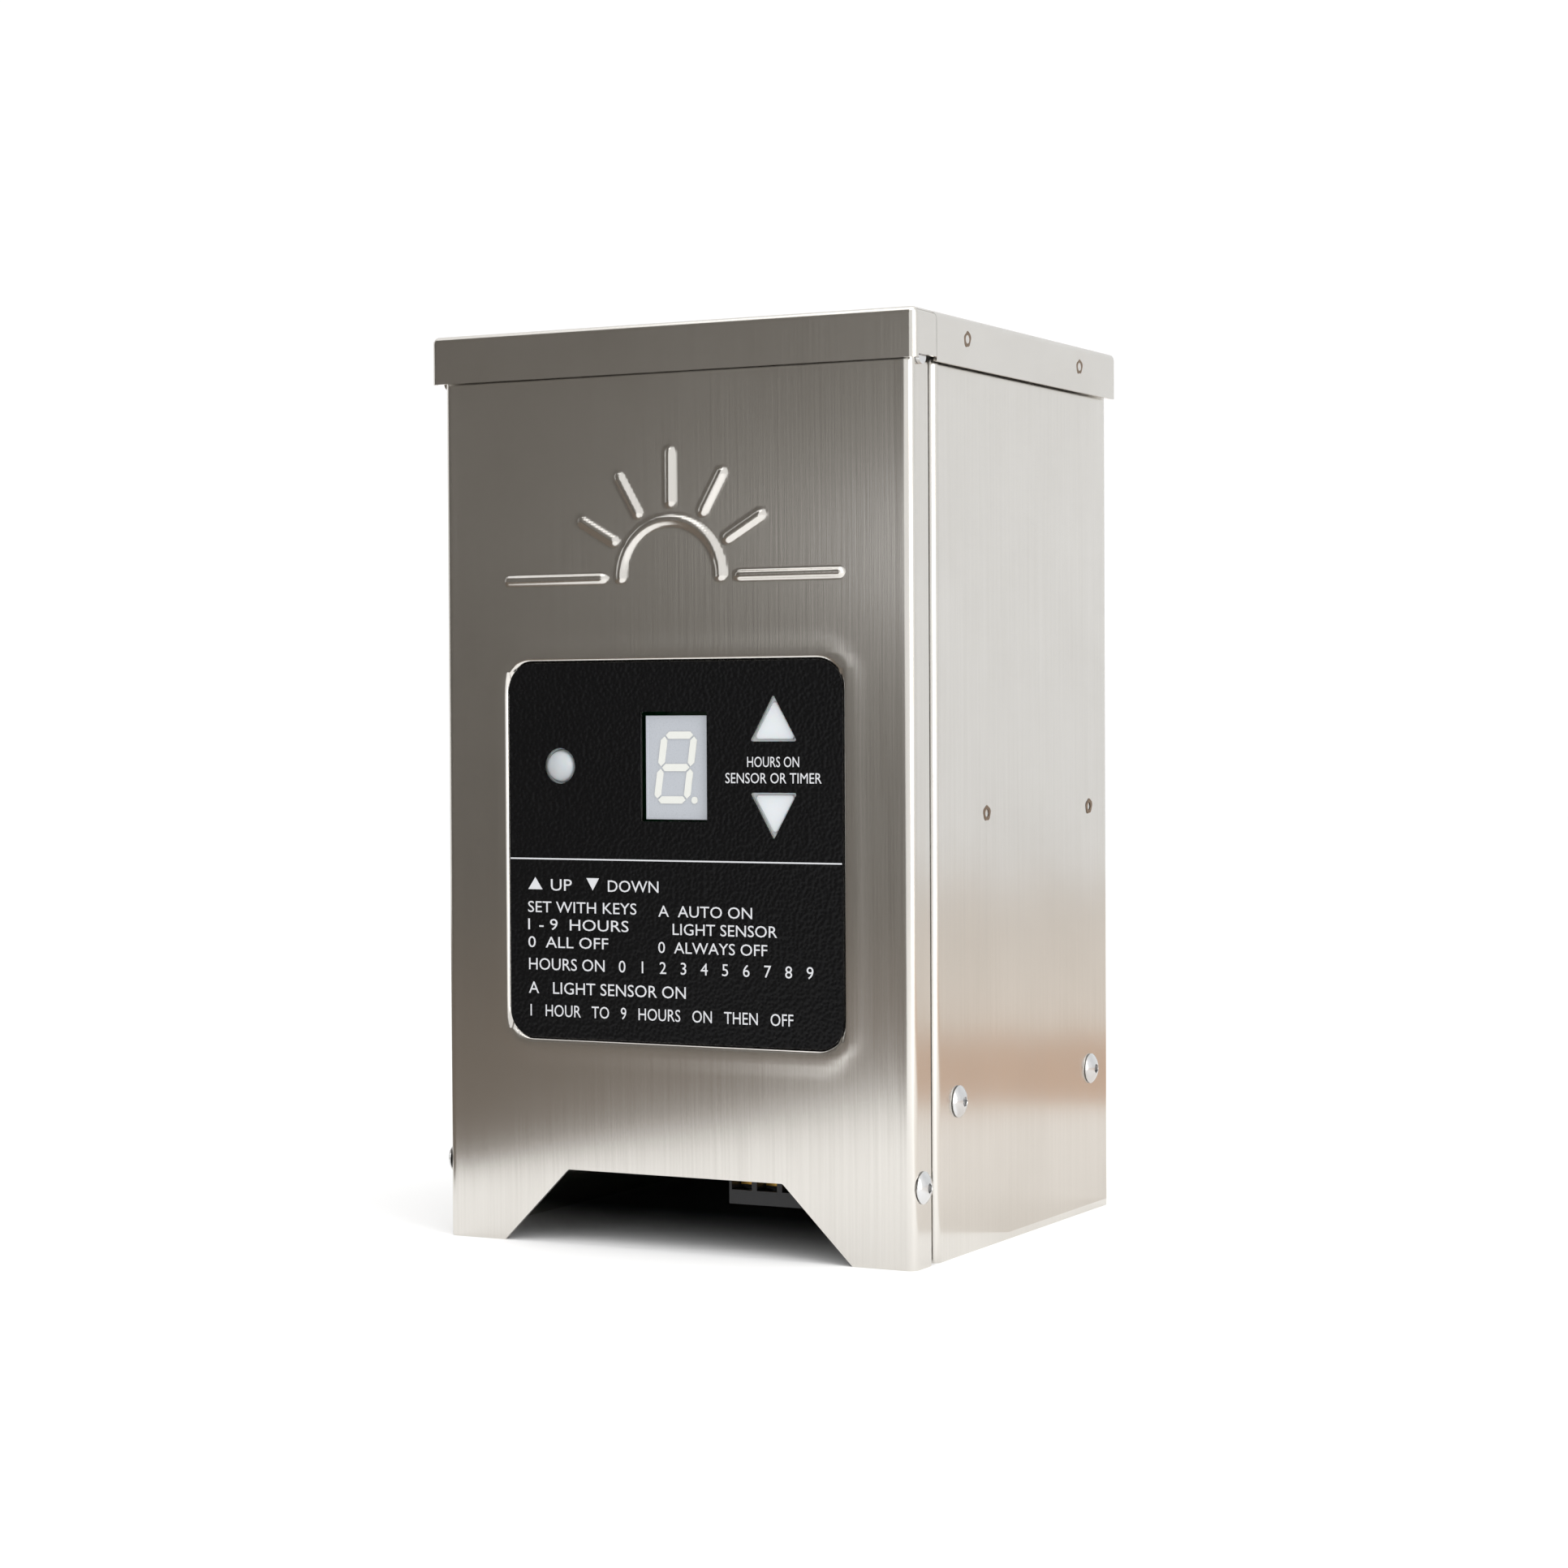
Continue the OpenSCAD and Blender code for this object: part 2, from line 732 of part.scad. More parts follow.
module front_cover() {
    tray = label_w + 2 * (recess_gap + 1);
    color("lightgray")
    difference() {
        union() {
            difference() {
                linear_extrude(ear_top) {
                    cover_plan();
                    mirror([1, 0]) cover_plan();
                }
                block([-half_w - cut, front_y - cut, cover_top], [half_w + cut, ear_front_y, ear_top + cut]);
            }
            plate_xz(panel_y, panel_y + sheet)
                translate([0, label_cz]) round_rect(tray, tray, label_r + recess_gap + 1);
            plate_xz(front_y - bead_h, front_y + hair) emblem();
        }
        plate_xz(front_y - cut, panel_y)
            translate([0, label_cz])
                round_rect(label_w + 2 * recess_gap, label_w + 2 * recess_gap, label_r + recess_gap);
        plate_xz(front_y - cut, front_y + bend_r)
            polygon([[-notch_foot_w / 2, -cut], [-notch_foot_w / 2, 0], [-notch_top_w / 2, notch_h],
                     [notch_top_w / 2, notch_h], [notch_foot_w / 2, 0], [notch_foot_w / 2, -cut]]);
        plate_xz(front_y - cut, panel_y + sheet + cut) panel_openings(0);
        both_sides() {
            // slots that slide under the cover screws' heads
            translate([0, cover_screw_y, cover_screw_z])
                rod_x(screw_d / 2 + 0.3, inner_x - cut, half_w + cut);
            block([inner_x - cut, cover_screw_y, cover_screw_z - screw_d / 2 - 0.3],
                  [half_w + cut, front_y + flange_d + cut, cover_screw_z + screw_d / 2 + 0.3]);
            translate([0, pivot_y, pivot_z]) rod_x(pin_r + pin_play, inner_x - cut, half_w + cut);
        }
    }
}

module label_panel() {
    color("#141414")
    plate_xz(panel_y - label_t, panel_y) difference() {
        translate([0, label_cz]) round_rect(label_w, label_w, label_r);
        panel_openings(0);
    }
}

module sensor_lens() {
    dome_r = lens_hole_r - 0.3;
    color("white")
    translate([lens_xz.x, 0, lens_xz.y]) {
        translate([0, panel_y + 2.2, 0]) sphere(dome_r);
        rod_y(dome_r, panel_y + 2.2, panel_y + 5.5);
        rod_y(lens_hole_r + 1.2, panel_y + sheet, panel_y + sheet + 1);
    }
}

module sensor_base() {
    color("#202020")
    translate([lens_xz.x, 0, lens_xz.y]) rod_y(4.2, panel_y + 7.1, board_y);
}

module display_body() {
    color("#c9cdd2")
    block([display_x[0], display_y, display_z[0]], [display_x[1], board_y, display_z[1]]);
}

// Seven bars and a point; the figure leans to the right by lean degrees
digit_h = 20.3;
digit_w = 11.6;
bar_w = 2.1;
lean = 8;
digit_c = [(display_x[0] + display_x[1]) / 2 - 0.4, (display_z[0] + display_z[1]) / 2];

module bar(length) {
    tip = bar_w / 2;
    polygon([[-length / 2, 0], [-length / 2 + tip, tip], [length / 2 - tip, tip],
             [length / 2, 0], [length / 2 - tip, -tip], [-length / 2 + tip, -tip]]);
}

module display_segments() {
    hw = (digit_w - bar_w) / 2;
    hh = (digit_h - bar_w) / 2;
    gap = 0.35;
    color("white")
    plate_xz(display_y - 0.15, display_y)
        translate(digit_c) {
            multmatrix([[1, tan(lean), 0, 0], [0, 1, 0, 0], [0, 0, 1, 0], [0, 0, 0, 1]]) {
                for (z = [-hh, 0, hh]) translate([0, z]) bar(2 * hw - 2 * gap);
                for (x = [-hw, hw], z = [-hh / 2, hh / 2])
                    translate([x, z]) rotate(90) bar(hh - 2 * gap);
            }
            translate([digit_w / 2 + 1.5, -digit_h / 2 + 1]) circle(1);
        }
}

// ---------- timer electronics ----------

module timer_board() {
    color("seagreen")
    difference() {
        block([-board_w / 2, board_y, board_z[0]], [board_w / 2, board_back, board_z[1]]);
        for (x = [-44, 44], z = [76, 156])
            translate([x, 0, z]) rod_y(1.6, board_y - cut, board_back + cut);
    }
}

module board_standoffs() {
    color("silver")
    for (x = [-44, 44], z = [76, 156])
        translate([x, 0, z]) difference() {
            rod_y(3, panel_y + sheet, board_y);
            rod_y(1.6, board_y - 5, board_y + cut);
        }
}

module board_screws() {
    color("silver")
    for (x = [-44, 44], z = [76, 156])
        translate([x, 0, z]) {
            rod_y(1.5, board_y - 4.5, board_back + hair);
            rod_y(2.8, board_back, board_back + 1.8);
        }
}

arrow_centre = arrow_h * 0.4;
switch_zs = [up_base_z + arrow_centre, down_base_z - arrow_centre];

module switch_bodies() {
    color("#222222")
    for (z = switch_zs)
        translate([arrow_x, 0, z]) difference() {
            block([-3, switch_y, -3], [3, board_y, 3]);
            rod_y(plunger_r + 0.08, switch_y - cut, board_y - 0.2);
        }
}

module relay() {
    color("royalblue")
    block([14, board_back, 78], [33, board_back + 15, 94]);
}

module capacitor() {
    color("darkslategray")
    translate([-22, 0, 88]) rod_y(5, board_back, board_back + 13);
}

module driver_chip() {
    color("#1a1a1a")
    block([-9, board_back, 102], [-1, board_back + 2.5, 121]);
}

module board_connector() {
    color("ivory")
    block([-12, board_back, 76], [2, board_back + 9, 84]);
}

// ---------- buttons ----------

// A button cap drawn pointing up, base on z = 0
module button_cap() {
    plate_xz(button_face_y, button_flange_y + hair)
        translate([0, 0.5]) arrow(arrow_half - 0.8, arrow_h - 1.6, 1);
    plate_xz(button_flange_y, button_back_y)
        translate([0, -1]) arrow(arrow_half + 1.5, arrow_h + 2.4, 1);
    translate([0, 0, arrow_centre]) rod_y(2.4, button_back_y - hair, stem_end_y);
}

module plunger() {
    rod_y(plunger_r, stem_end_y, plunger_end_y);
}

module up_button() {
    color("white") translate([arrow_x, 0, up_base_z]) button_cap();
}

module up_plunger() {
    color("dimgray") translate([arrow_x, 0, switch_zs[0]]) plunger();
}

module down_button() {
    color("white") translate([arrow_x, 0, down_base_z]) mirror([0, 0, 1]) button_cap();
}

module down_plunger() {
    color("dimgray") translate([arrow_x, 0, switch_zs[1]]) plunger();
}

case_shell();
lid();
lid_spacers();
transformer_shelf();
bottom_plate();
housing_screws();
housing_nuts();
cover_spacers();
pivot_pins();
toroid_core();
toroid_winding();
toroid_pads();
clamp_plate();
toroid_bolt();
toroid_nut();
terminal_block();
terminal_plates();
terminal_screws();
breaker_body();
breaker_nut();
breaker_button();
cord_bush();
hole_plug();
shelf_grommet();
earth_stud();
earth_nuts();
mains_leads();
low_voltage_leads();
front_cover();
label_panel();
sensor_lens();
sensor_base();
display_body();
display_segments();
timer_board();
board_standoffs();
board_screws();
switch_bodies();
relay();
capacitor();
driver_chip();
board_connector();
up_button();
up_plunger();
down_button();
down_plunger();
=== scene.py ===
"""Looks of a low-voltage outdoor lighting transformer: folded stainless case, timer panel, inner parts."""

import logging
import math
import random
from dataclasses import dataclass, field
from enum import Enum
from typing import Callable, Iterable, Sequence

import bmesh
import bpy
import numpy as np
from mathutils import Matrix, Vector


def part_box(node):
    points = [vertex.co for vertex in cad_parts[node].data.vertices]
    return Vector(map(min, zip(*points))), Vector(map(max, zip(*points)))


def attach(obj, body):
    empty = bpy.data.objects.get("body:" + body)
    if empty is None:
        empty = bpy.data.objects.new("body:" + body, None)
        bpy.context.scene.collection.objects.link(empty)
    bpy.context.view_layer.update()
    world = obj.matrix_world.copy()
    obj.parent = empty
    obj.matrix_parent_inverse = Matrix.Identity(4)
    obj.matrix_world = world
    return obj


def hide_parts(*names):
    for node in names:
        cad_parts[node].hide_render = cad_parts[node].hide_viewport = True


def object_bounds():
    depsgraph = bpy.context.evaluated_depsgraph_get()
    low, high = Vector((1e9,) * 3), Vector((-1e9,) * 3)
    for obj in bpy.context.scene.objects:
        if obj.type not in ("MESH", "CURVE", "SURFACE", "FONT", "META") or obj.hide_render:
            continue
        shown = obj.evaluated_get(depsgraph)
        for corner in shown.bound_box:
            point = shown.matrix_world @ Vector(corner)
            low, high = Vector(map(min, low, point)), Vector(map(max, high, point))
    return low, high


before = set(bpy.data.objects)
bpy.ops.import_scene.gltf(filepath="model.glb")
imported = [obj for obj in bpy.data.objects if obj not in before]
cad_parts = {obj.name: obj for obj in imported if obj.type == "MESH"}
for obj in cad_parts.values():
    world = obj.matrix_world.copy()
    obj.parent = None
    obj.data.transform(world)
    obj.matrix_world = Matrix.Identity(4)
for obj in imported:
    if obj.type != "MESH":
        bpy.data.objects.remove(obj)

LOG = logging.getLogger("transformer")
MM = 0.001
CAD_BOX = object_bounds()

Point2 = tuple[float, float]
Point3 = tuple[float, float, float]


# ---------------------------------------------------------------- small helpers


def linear(colour: str) -> tuple[float, float, float, float]:
    """Turns an sRGB hex colour into linear red, green, blue and alpha.

    Args:
        colour: Six hex digits, such as "d8d4ce".

    Returns:
        Four linear values.
    """
    parts = [int(colour[i:i + 2], 16) / 255 for i in (0, 2, 4)]
    lin = [c / 12.92 if c <= 0.04045 else ((c + 0.055) / 1.055) ** 2.4 for c in parts]
    return lin[0], lin[1], lin[2], 1.0


def add_node(tree: bpy.types.NodeTree, kind: str, settings: dict | None = None,
             inputs: dict | None = None) -> bpy.types.Node:
    """Adds a shader node with its settings, and sets or links its inputs.

    Args:
        tree: The node tree.
        kind: The node's type name.
        settings: Attributes to set on the node.
        inputs: Input name or index to a value, or to another node's output socket.

    Returns:
        The new node.
    """
    node = tree.nodes.new(kind)
    for key, value in (settings or {}).items():
        setattr(node, key, value)
    for key, value in (inputs or {}).items():
        if isinstance(value, bpy.types.NodeSocket):
            tree.links.new(value, node.inputs[key])
        else:
            node.inputs[key].default_value = value
    return node


def corners(node: str) -> tuple[Vector, Vector]:
    """Gives a CAD node's box.

    Args:
        node: Name of the node.

    Returns:
        Its lowest and highest corner in millimetres.
    """
    low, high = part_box(node)
    return low / MM, high / MM


def smoothstep(t: np.ndarray | float) -> np.ndarray | float:
    """Eases from 0 to 1 while t goes from 0 to 1.

    Args:
        t: The place between the two ends; values beyond them are held.

    Returns:
        The eased values.
    """
    t = np.clip(t, 0.0, 1.0)
    return t * t * (3 - 2 * t)


# ---------------------------------------------------------------- finishes


class Grain(Enum):
    """What the surface's fine detail is like."""

    BRUSHED = "brushed"
    FOLDED = "brushed over folds"
    MOULDED = "moulded"
    FILM = "film"
    PLATED = "plated"
    TAPE = "tape"


@dataclass(frozen=True)
class Finish:
    """A real material with the way its surface was made.

    Attributes:
        name: Name of the finish.
        colour: sRGB hex of the base.
        second: sRGB hex that the variation leans to.
        metallic: 1 for a bare metal.
        roughness: Middle value of the roughness.
        spread: How far the roughness varies.
        grain: Kind of fine detail.
        grain_mm: Size of that detail.
        bump: Depth of that detail, 0 to 1.
        mix: How much of the second colour shows.
        ior: Index of refraction of a non-metal.
        coat: Clear coat weight.
        sub: Subsurface weight of a translucent plastic.
        anisotropic: Stretch of the highlight across the brushing.
        specular: Specular level of a non-metal.
    """

    name: str
    colour: str
    second: str
    metallic: float = 0.0
    roughness: float = 0.5
    spread: float = 0.08
    grain: Grain = Grain.MOULDED
    grain_mm: float = 0.6
    bump: float = 0.15
    mix: float = 0.3
    ior: float = 1.5
    coat: float = 0.0
    sub: float = 0.0
    anisotropic: float = 0.0
    specular: float = 0.5

    def material(self) -> bpy.types.Material:
        """Gives this finish's material, made the first time it is asked for.

        Returns:
            The material.
        """
        found = bpy.data.materials.get(self.name)
        if found:
            return found
        made = bpy.data.materials.new(self.name)
        made.use_nodes = True
        tree = made.node_tree
        tree.nodes.clear()
        place = add_node(tree, "ShaderNodeTexCoord").outputs["Object"]
        detail = self._detail(tree, place)
        wide = add_node(tree, "ShaderNodeTexNoise", {}, {"Vector": place, "Scale": 22.0, "Detail": 3.0})
        blend = add_node(tree, "ShaderNodeMath", {"operation": "MULTIPLY_ADD"},
                         {0: wide.outputs["Fac"], 1: 0.6, 2: -0.1})
        both = add_node(tree, "ShaderNodeMath", {"operation": "MULTIPLY_ADD", "use_clamp": True},
                        {0: detail, 1: 0.6, 2: blend.outputs[0]})
        amount = add_node(tree, "ShaderNodeMath", {"operation": "MULTIPLY"},
                          {0: both.outputs[0], 1: self.mix})
        colour = add_node(tree, "ShaderNodeMix", {"data_type": "RGBA"},
                          {0: amount.outputs[0], 6: linear(self.colour), 7: linear(self.second)})
        rough = add_node(tree, "ShaderNodeMapRange", {},
                         {"Value": detail, "To Min": self.roughness - self.spread,
                          "To Max": self.roughness + self.spread})
        bump = add_node(tree, "ShaderNodeBump", {},
                        {"Height": detail, "Strength": self.bump, "Distance": self.grain_mm * MM})
        inputs = {
            "Base Color": colour.outputs[2], "Metallic": self.metallic,
            "Roughness": rough.outputs["Result"], "IOR": self.ior, "Normal": bump.outputs["Normal"],
            "Coat Weight": self.coat, "Coat Roughness": 0.12,
            "Subsurface Weight": self.sub, "Subsurface Scale": 0.002,
        }
        shader = add_node(tree, "ShaderNodeBsdfPrincipled", {}, inputs)
        shader.inputs["Specular IOR Level"].default_value = self.specular
        if self.anisotropic:
            # the highlight spreads across the brushing: level on upright faces, along x on the top
            shader.inputs["Anisotropic"].default_value = self.anisotropic
            facing = add_node(tree, "ShaderNodeTexCoord").outputs["Normal"]
            across = add_node(tree, "ShaderNodeVectorMath", {"operation": "CROSS_PRODUCT"},
                              {0: facing, 1: (0.0, 0.05, 1.0)})
            turned = add_node(tree, "ShaderNodeVectorTransform",
                              {"vector_type": "VECTOR", "convert_from": "OBJECT", "convert_to": "WORLD"},
                              {0: across.outputs[0]})
            tree.links.new(turned.outputs[0], shader.inputs["Tangent"])
        add_node(tree, "ShaderNodeOutputMaterial", {}, {"Surface": shader.outputs[0]})
        return made

    def _detail(self, tree: bpy.types.NodeTree, place: bpy.types.NodeSocket) -> bpy.types.NodeSocket:
        """Adds the fine pattern and gives its height, 0 to 1.

        Args:
            tree: The material's node tree.
            place: Object coordinates, in metres.

        Returns:
            The pattern's output socket.
        """
        per_metre = 1 / (self.grain_mm * MM)
        if self.grain in (Grain.BRUSHED, Grain.FOLDED):
            # brushing runs along z: scratches are long in z and one grain wide across;
            # on a folded lid it runs along y on the top and turns down the front
            long = 0.012
            along_y = long if self.grain is Grain.FOLDED else 1.0
            scale = (per_metre, per_metre * along_y, per_metre * long)
            stretched = add_node(tree, "ShaderNodeMapping", {}, {"Vector": place, "Scale": scale})
            fine = add_node(tree, "ShaderNodeTexNoise", {},
                            {"Vector": stretched.outputs[0], "Scale": 1.0, "Detail": 4.0, "Roughness": 0.65})
            return fine.outputs["Fac"]
        if self.grain is Grain.TAPE:
            wound = add_node(tree, "ShaderNodeTexNoise", {},
                             {"Vector": place, "Scale": per_metre, "Detail": 2.0})
            return wound.outputs["Fac"]
        if self.grain is Grain.FILM:
            cells = add_node(tree, "ShaderNodeTexVoronoi", {"feature": "SMOOTH_F1"},
                             {"Vector": place, "Scale": per_metre})
            return cells.outputs["Distance"]
        if self.grain is Grain.PLATED:
            cells = add_node(tree, "ShaderNodeTexVoronoi", {}, {"Vector": place, "Scale": per_metre})
            return cells.outputs["Distance"]
        speckle = add_node(tree, "ShaderNodeTexNoise", {},
                           {"Vector": place, "Scale": per_metre, "Detail": 2.0, "Roughness": 0.6})
        return speckle.outputs["Fac"]


# Type 304 stainless sheet, brushed upright with a No. 4 finish: satin, warm grey, fine upright lines.
# The real lines are about 0.05 mm apart; they are drawn at 0.9 mm so that they show.
STAINLESS = Finish("stainless_brushed", "dfdcd7", "bdb9b2", 1.0, 0.19, 0.05, Grain.BRUSHED, 0.9, 0.024,
                   0.75, anisotropic=0.6)
STAINLESS_LID = Finish("stainless_brushed_lid", "dfdcd7", "bdb9b2", 1.0, 0.19, 0.05, Grain.FOLDED, 0.9,
                       0.024, 0.75, anisotropic=0.6)
# The same sheet where spot welding heated it: straw to brown oxide.
WELD_TINT = Finish("stainless_heat_tint", "8f7b66", "5b4a3c", 1.0, 0.38, 0.1, Grain.MOULDED, 0.4, 0.3, 0.8)
# Stainless button-head screws, cold headed: bright with soft tool marks.
BRIGHT = Finish("steel_bright", "d9d9d9", "b9babc", 1.0, 0.2, 0.05, Grain.MOULDED, 0.5, 0.08, 0.4)
# Zinc-plated mild steel plate: bluish grey with a faint spangle.
ZINC = Finish("steel_zinc_plated", "aeb2b5", "8f959b", 1.0, 0.36, 0.07, Grain.PLATED, 1.6, 0.06, 0.6)
CORE = Finish("core_strip_steel", "5a5c60", "3e4044", 1.0, 0.45, 0.08, Grain.BRUSHED, 0.4, 0.2, 0.5)
BRASS = Finish("brass_stamped", "c79d4d", "9b7434", 1.0, 0.3, 0.07, Grain.MOULDED, 0.5, 0.08, 0.5)
# Polyester film label with a fine pebble texture, screen printed.
LABEL = Finish("label_film_black", "09090a", "121213", 0.0, 0.36, 0.06, Grain.FILM, 1.0, 0.4, 0.5,
               specular=0.12)
PRINT = Finish("print_light_grey", "c9cacd", "b4b5b9", 0.0, 0.5, 0.05, Grain.MOULDED, 0.3, 0.05, 0.4)
# Opal acrylic: light scatters inside, so its edges look soft.
OPAL = Finish("acrylic_opal", "d0d4d7", "c5cace", 0.0, 0.3, 0.05, Grain.MOULDED, 0.8, 0.04, 0.4, sub=0.3)
# Frosted polycarbonate over the light sensor; its colour is greyer than the buttons' as painted shade for the
# dark case behind it.
FROSTED = Finish("polycarbonate_frosted", "adb2b5", "a1a7ab", 0.0, 0.38, 0.05, Grain.MOULDED, 0.8, 0.04, 0.4,
                 sub=0.3)
DISPLAY = Finish("display_face_grey", "aeb2b8", "9da1a8", 0.0, 0.28, 0.04, Grain.MOULDED, 0.5, 0.04, 0.4,
                 coat=0.3)
SEGMENT = Finish("display_diffuser", "d3d4cf", "c8c9c3", 0.0, 0.4, 0.05, Grain.MOULDED, 0.4, 0.03, 0.4)
BLACK_NYLON = Finish("nylon_black", "141414", "222222", 0.0, 0.5, 0.08, Grain.MOULDED, 0.5, 0.15, 0.5)
WHITE_NYLON = Finish("nylon_natural", "e2dfd3", "cfcbbc", 0.0, 0.45, 0.08, Grain.MOULDED, 0.6, 0.1, 0.5)
RUBBER = Finish("rubber_black", "17171a", "26262a", 0.0, 0.75, 0.08, Grain.MOULDED, 0.7, 0.25, 0.5)
PHENOLIC = Finish("phenolic_black", "19191b", "2a2a2d", 0.0, 0.42, 0.07, Grain.MOULDED, 0.4, 0.12, 0.5)
RED = Finish("abs_red", "a3190f", "7f120b", 0.0, 0.35, 0.06, Grain.MOULDED, 0.5, 0.08, 0.4)
LEAD_BLACK = Finish("pvc_black", "1b1b1d", "2b2b2e", 0.0, 0.45, 0.06, Grain.MOULDED, 0.8, 0.08, 0.5)
LEAD_RED = Finish("pvc_red", "94180f", "7a120c", 0.0, 0.42, 0.06, Grain.MOULDED, 0.8, 0.08, 0.5)
TAPE = Finish("polyester_tape_amber", "c98f1e", "a46c10", 0.0, 0.3, 0.08, Grain.TAPE, 3.0, 0.25, 0.7,
              coat=0.4)
SOLDER_MASK = Finish("solder_mask_green", "11512c", "0b3d20", 0.0, 0.3, 0.05, Grain.MOULDED, 1.2, 0.1, 0.6,
                     coat=0.3)
RELAY_BLUE = Finish("pbt_blue", "1d4fa3", "173f85", 0.0, 0.4, 0.06, Grain.MOULDED, 0.5, 0.1, 0.4)
SLEEVE = Finish("shrink_sleeve_navy", "15223a", "0e1728", 0.0, 0.35, 0.06, Grain.MOULDED, 0.8, 0.08, 0.5)
IVORY = Finish("nylon_ivory", "e3dcc2", "cfc6a6", 0.0, 0.5, 0.06, Grain.MOULDED, 0.6, 0.1, 0.4)

CAD_FINISHES: dict[str, Finish] = {
    "lid_spacers": STAINLESS, "transformer_shelf": ZINC, "bottom_plate": ZINC, "clamp_plate": ZINC,
    "housing_nuts": BRIGHT, "pivot_pins": BRIGHT, "toroid_bolt": BRIGHT, "toroid_nut": BRIGHT,
    "terminal_screws": BRIGHT, "board_screws": BRIGHT, "board_standoffs": BRIGHT, "breaker_nut": BRIGHT,
    "earth_stud": BRIGHT, "earth_nuts": BRASS, "terminal_plates": BRASS, "cord_bush": BLACK_NYLON,
    "hole_plug": BLACK_NYLON, "cover_spacers": WHITE_NYLON, "toroid_core": CORE, "toroid_pads": RUBBER,
    "shelf_grommet": RUBBER, "terminal_block": PHENOLIC, "breaker_body": PHENOLIC, "breaker_button": RED,
    "mains_leads": LEAD_BLACK, "low_voltage_leads": LEAD_RED, "sensor_base": PHENOLIC,
    "timer_board": SOLDER_MASK, "switch_bodies": PHENOLIC, "relay": RELAY_BLUE, "capacitor": SLEEVE,
    "driver_chip": PHENOLIC, "board_connector": IVORY, "up_plunger": PHENOLIC, "down_plunger": PHENOLIC,
    "toroid_winding": TAPE,
}


# ---------------------------------------------------------------- mesh tools


class Solid:
    """Vertices in millimetres and faces, gathered before they become a mesh."""

    def __init__(self) -> None:
        """Starts empty."""
        self.points: list[Point3] = []
        self.faces: list[tuple[int, ...]] = []

    def add(self, points: Iterable[Sequence[float]], faces: Iterable[Sequence[int]]) -> "Solid":
        """Adds a closed shape.

        Args:
            points: Its vertices in millimetres.
            faces: Its faces, counted from its own first vertex.

        Returns:
            This solid.
        """
        start = len(self.points)
        self.points += [tuple(float(c) for c in p) for p in points]
        self.faces += [tuple(start + i for i in f) for f in faces]
        return self

    def prism(self, outline: Sequence[Point2], place: Callable[[float, float, float], Point3],
              low: float, high: float) -> "Solid":
        """Adds an outline drawn in the plane and stretched between two depths.

        Args:
            outline: Corners of the plane figure.
            place: Turns the figure's two values and a depth into a point.
            low: First depth.
            high: Second depth.

        Returns:
            This solid.
        """
        count = len(outline)
        points = [place(a, b, low) for a, b in outline] + [place(a, b, high) for a, b in outline]
        walls = [(i, (i + 1) % count, count + (i + 1) % count, count + i) for i in range(count)]
        caps = [tuple(range(count - 1, -1, -1)), tuple(range(count, 2 * count))]
        return self.add(points, walls + caps)

    def lathe(self, profile: Sequence[Point2], place: Callable[[float, float, float], Point3],
              steps: int = 48) -> "Solid":
        """Adds a turned shape.

        Args:
            profile: Radius and depth of each ring, from the first pole to the last.
            place: Turns two values across the axis and a depth into a point.
            steps: Vertices in a ring.

        Returns:
            This solid.
        """
        points: list[Point3] = []
        for radius, depth in profile:
            for k in range(steps):
                turn = 2 * math.pi * k / steps
                points.append(place(radius * math.cos(turn), radius * math.sin(turn), depth))
        faces: list[tuple[int, ...]] = []
        for ring in range(len(profile) - 1):
            for k in range(steps):
                a, b = ring * steps + k, ring * steps + (k + 1) % steps
                faces.append((a, b, b + steps, a + steps))
        faces.append(tuple(range(steps - 1, -1, -1)))
        last = (len(profile) - 1) * steps
        faces.append(tuple(range(last, last + steps)))
        return self.add(points, faces)

    def mesh(self, name: str) -> bpy.types.Mesh:
        """Makes the mesh, in metres, with its faces turned outwards.

        Args:
            name: Name of the mesh.

        Returns:
            The mesh.
        """
        made = bpy.data.meshes.new(name)
        made.from_pydata([(x * MM, y * MM, z * MM) for x, y, z in self.points], [], self.faces)
        made.validate()
        turn_outwards(made)
        return made

    def object(self, name: str) -> bpy.types.Object:
        """Makes a linked object.

        Args:
            name: Name of the object and of its mesh.

        Returns:
            The object.
        """
        made = bpy.data.objects.new(name, self.mesh(name))
        bpy.context.scene.collection.objects.link(made)
        return made


def turn_outwards(mesh: bpy.types.Mesh) -> None:
    """Makes a closed mesh's faces look outwards.

    Args:
        mesh: The mesh.
    """
    work = bmesh.new()
    work.from_mesh(mesh)
    bmesh.ops.recalc_face_normals(work, faces=work.faces)
    work.to_mesh(mesh)
    work.free()


def at_depth_y(x: float, z: float, y: float) -> Point3:
    """Places a figure drawn in x and z at depth y."""
    return x, y, z


def at_depth_x(y: float, z: float, x: float) -> Point3:
    """Places a figure drawn in y and z at depth x."""
    return x, y, z


def carve(target: bpy.types.Object, cutter: bpy.types.Object, operation: str = "DIFFERENCE") -> None:
    """Cuts one closed object out of another, or joins them, and removes the cutter.

    Args:
        target: The object that stays.
        cutter: The object that is cut out or joined on.
        operation: DIFFERENCE to cut, UNION to join.
    """
    step = target.modifiers.new("carve", "BOOLEAN")
    step.operation = operation
    step.solver = "MANIFOLD"
    step.object = cutter
    settle(target)
    bpy.data.objects.remove(cutter)


def settle(target: bpy.types.Object) -> None:
    """Applies an object's modifiers to its mesh.

    Args:
        target: The object.
    """
    bpy.context.view_layer.update()
    graph = bpy.context.evaluated_depsgraph_get()
    made = bpy.data.meshes.new_from_object(target.evaluated_get(graph))
    old = target.data
    target.modifiers.clear()
    target.data = made
    made.name = target.name
    if old.users == 0:
        bpy.data.meshes.remove(old)


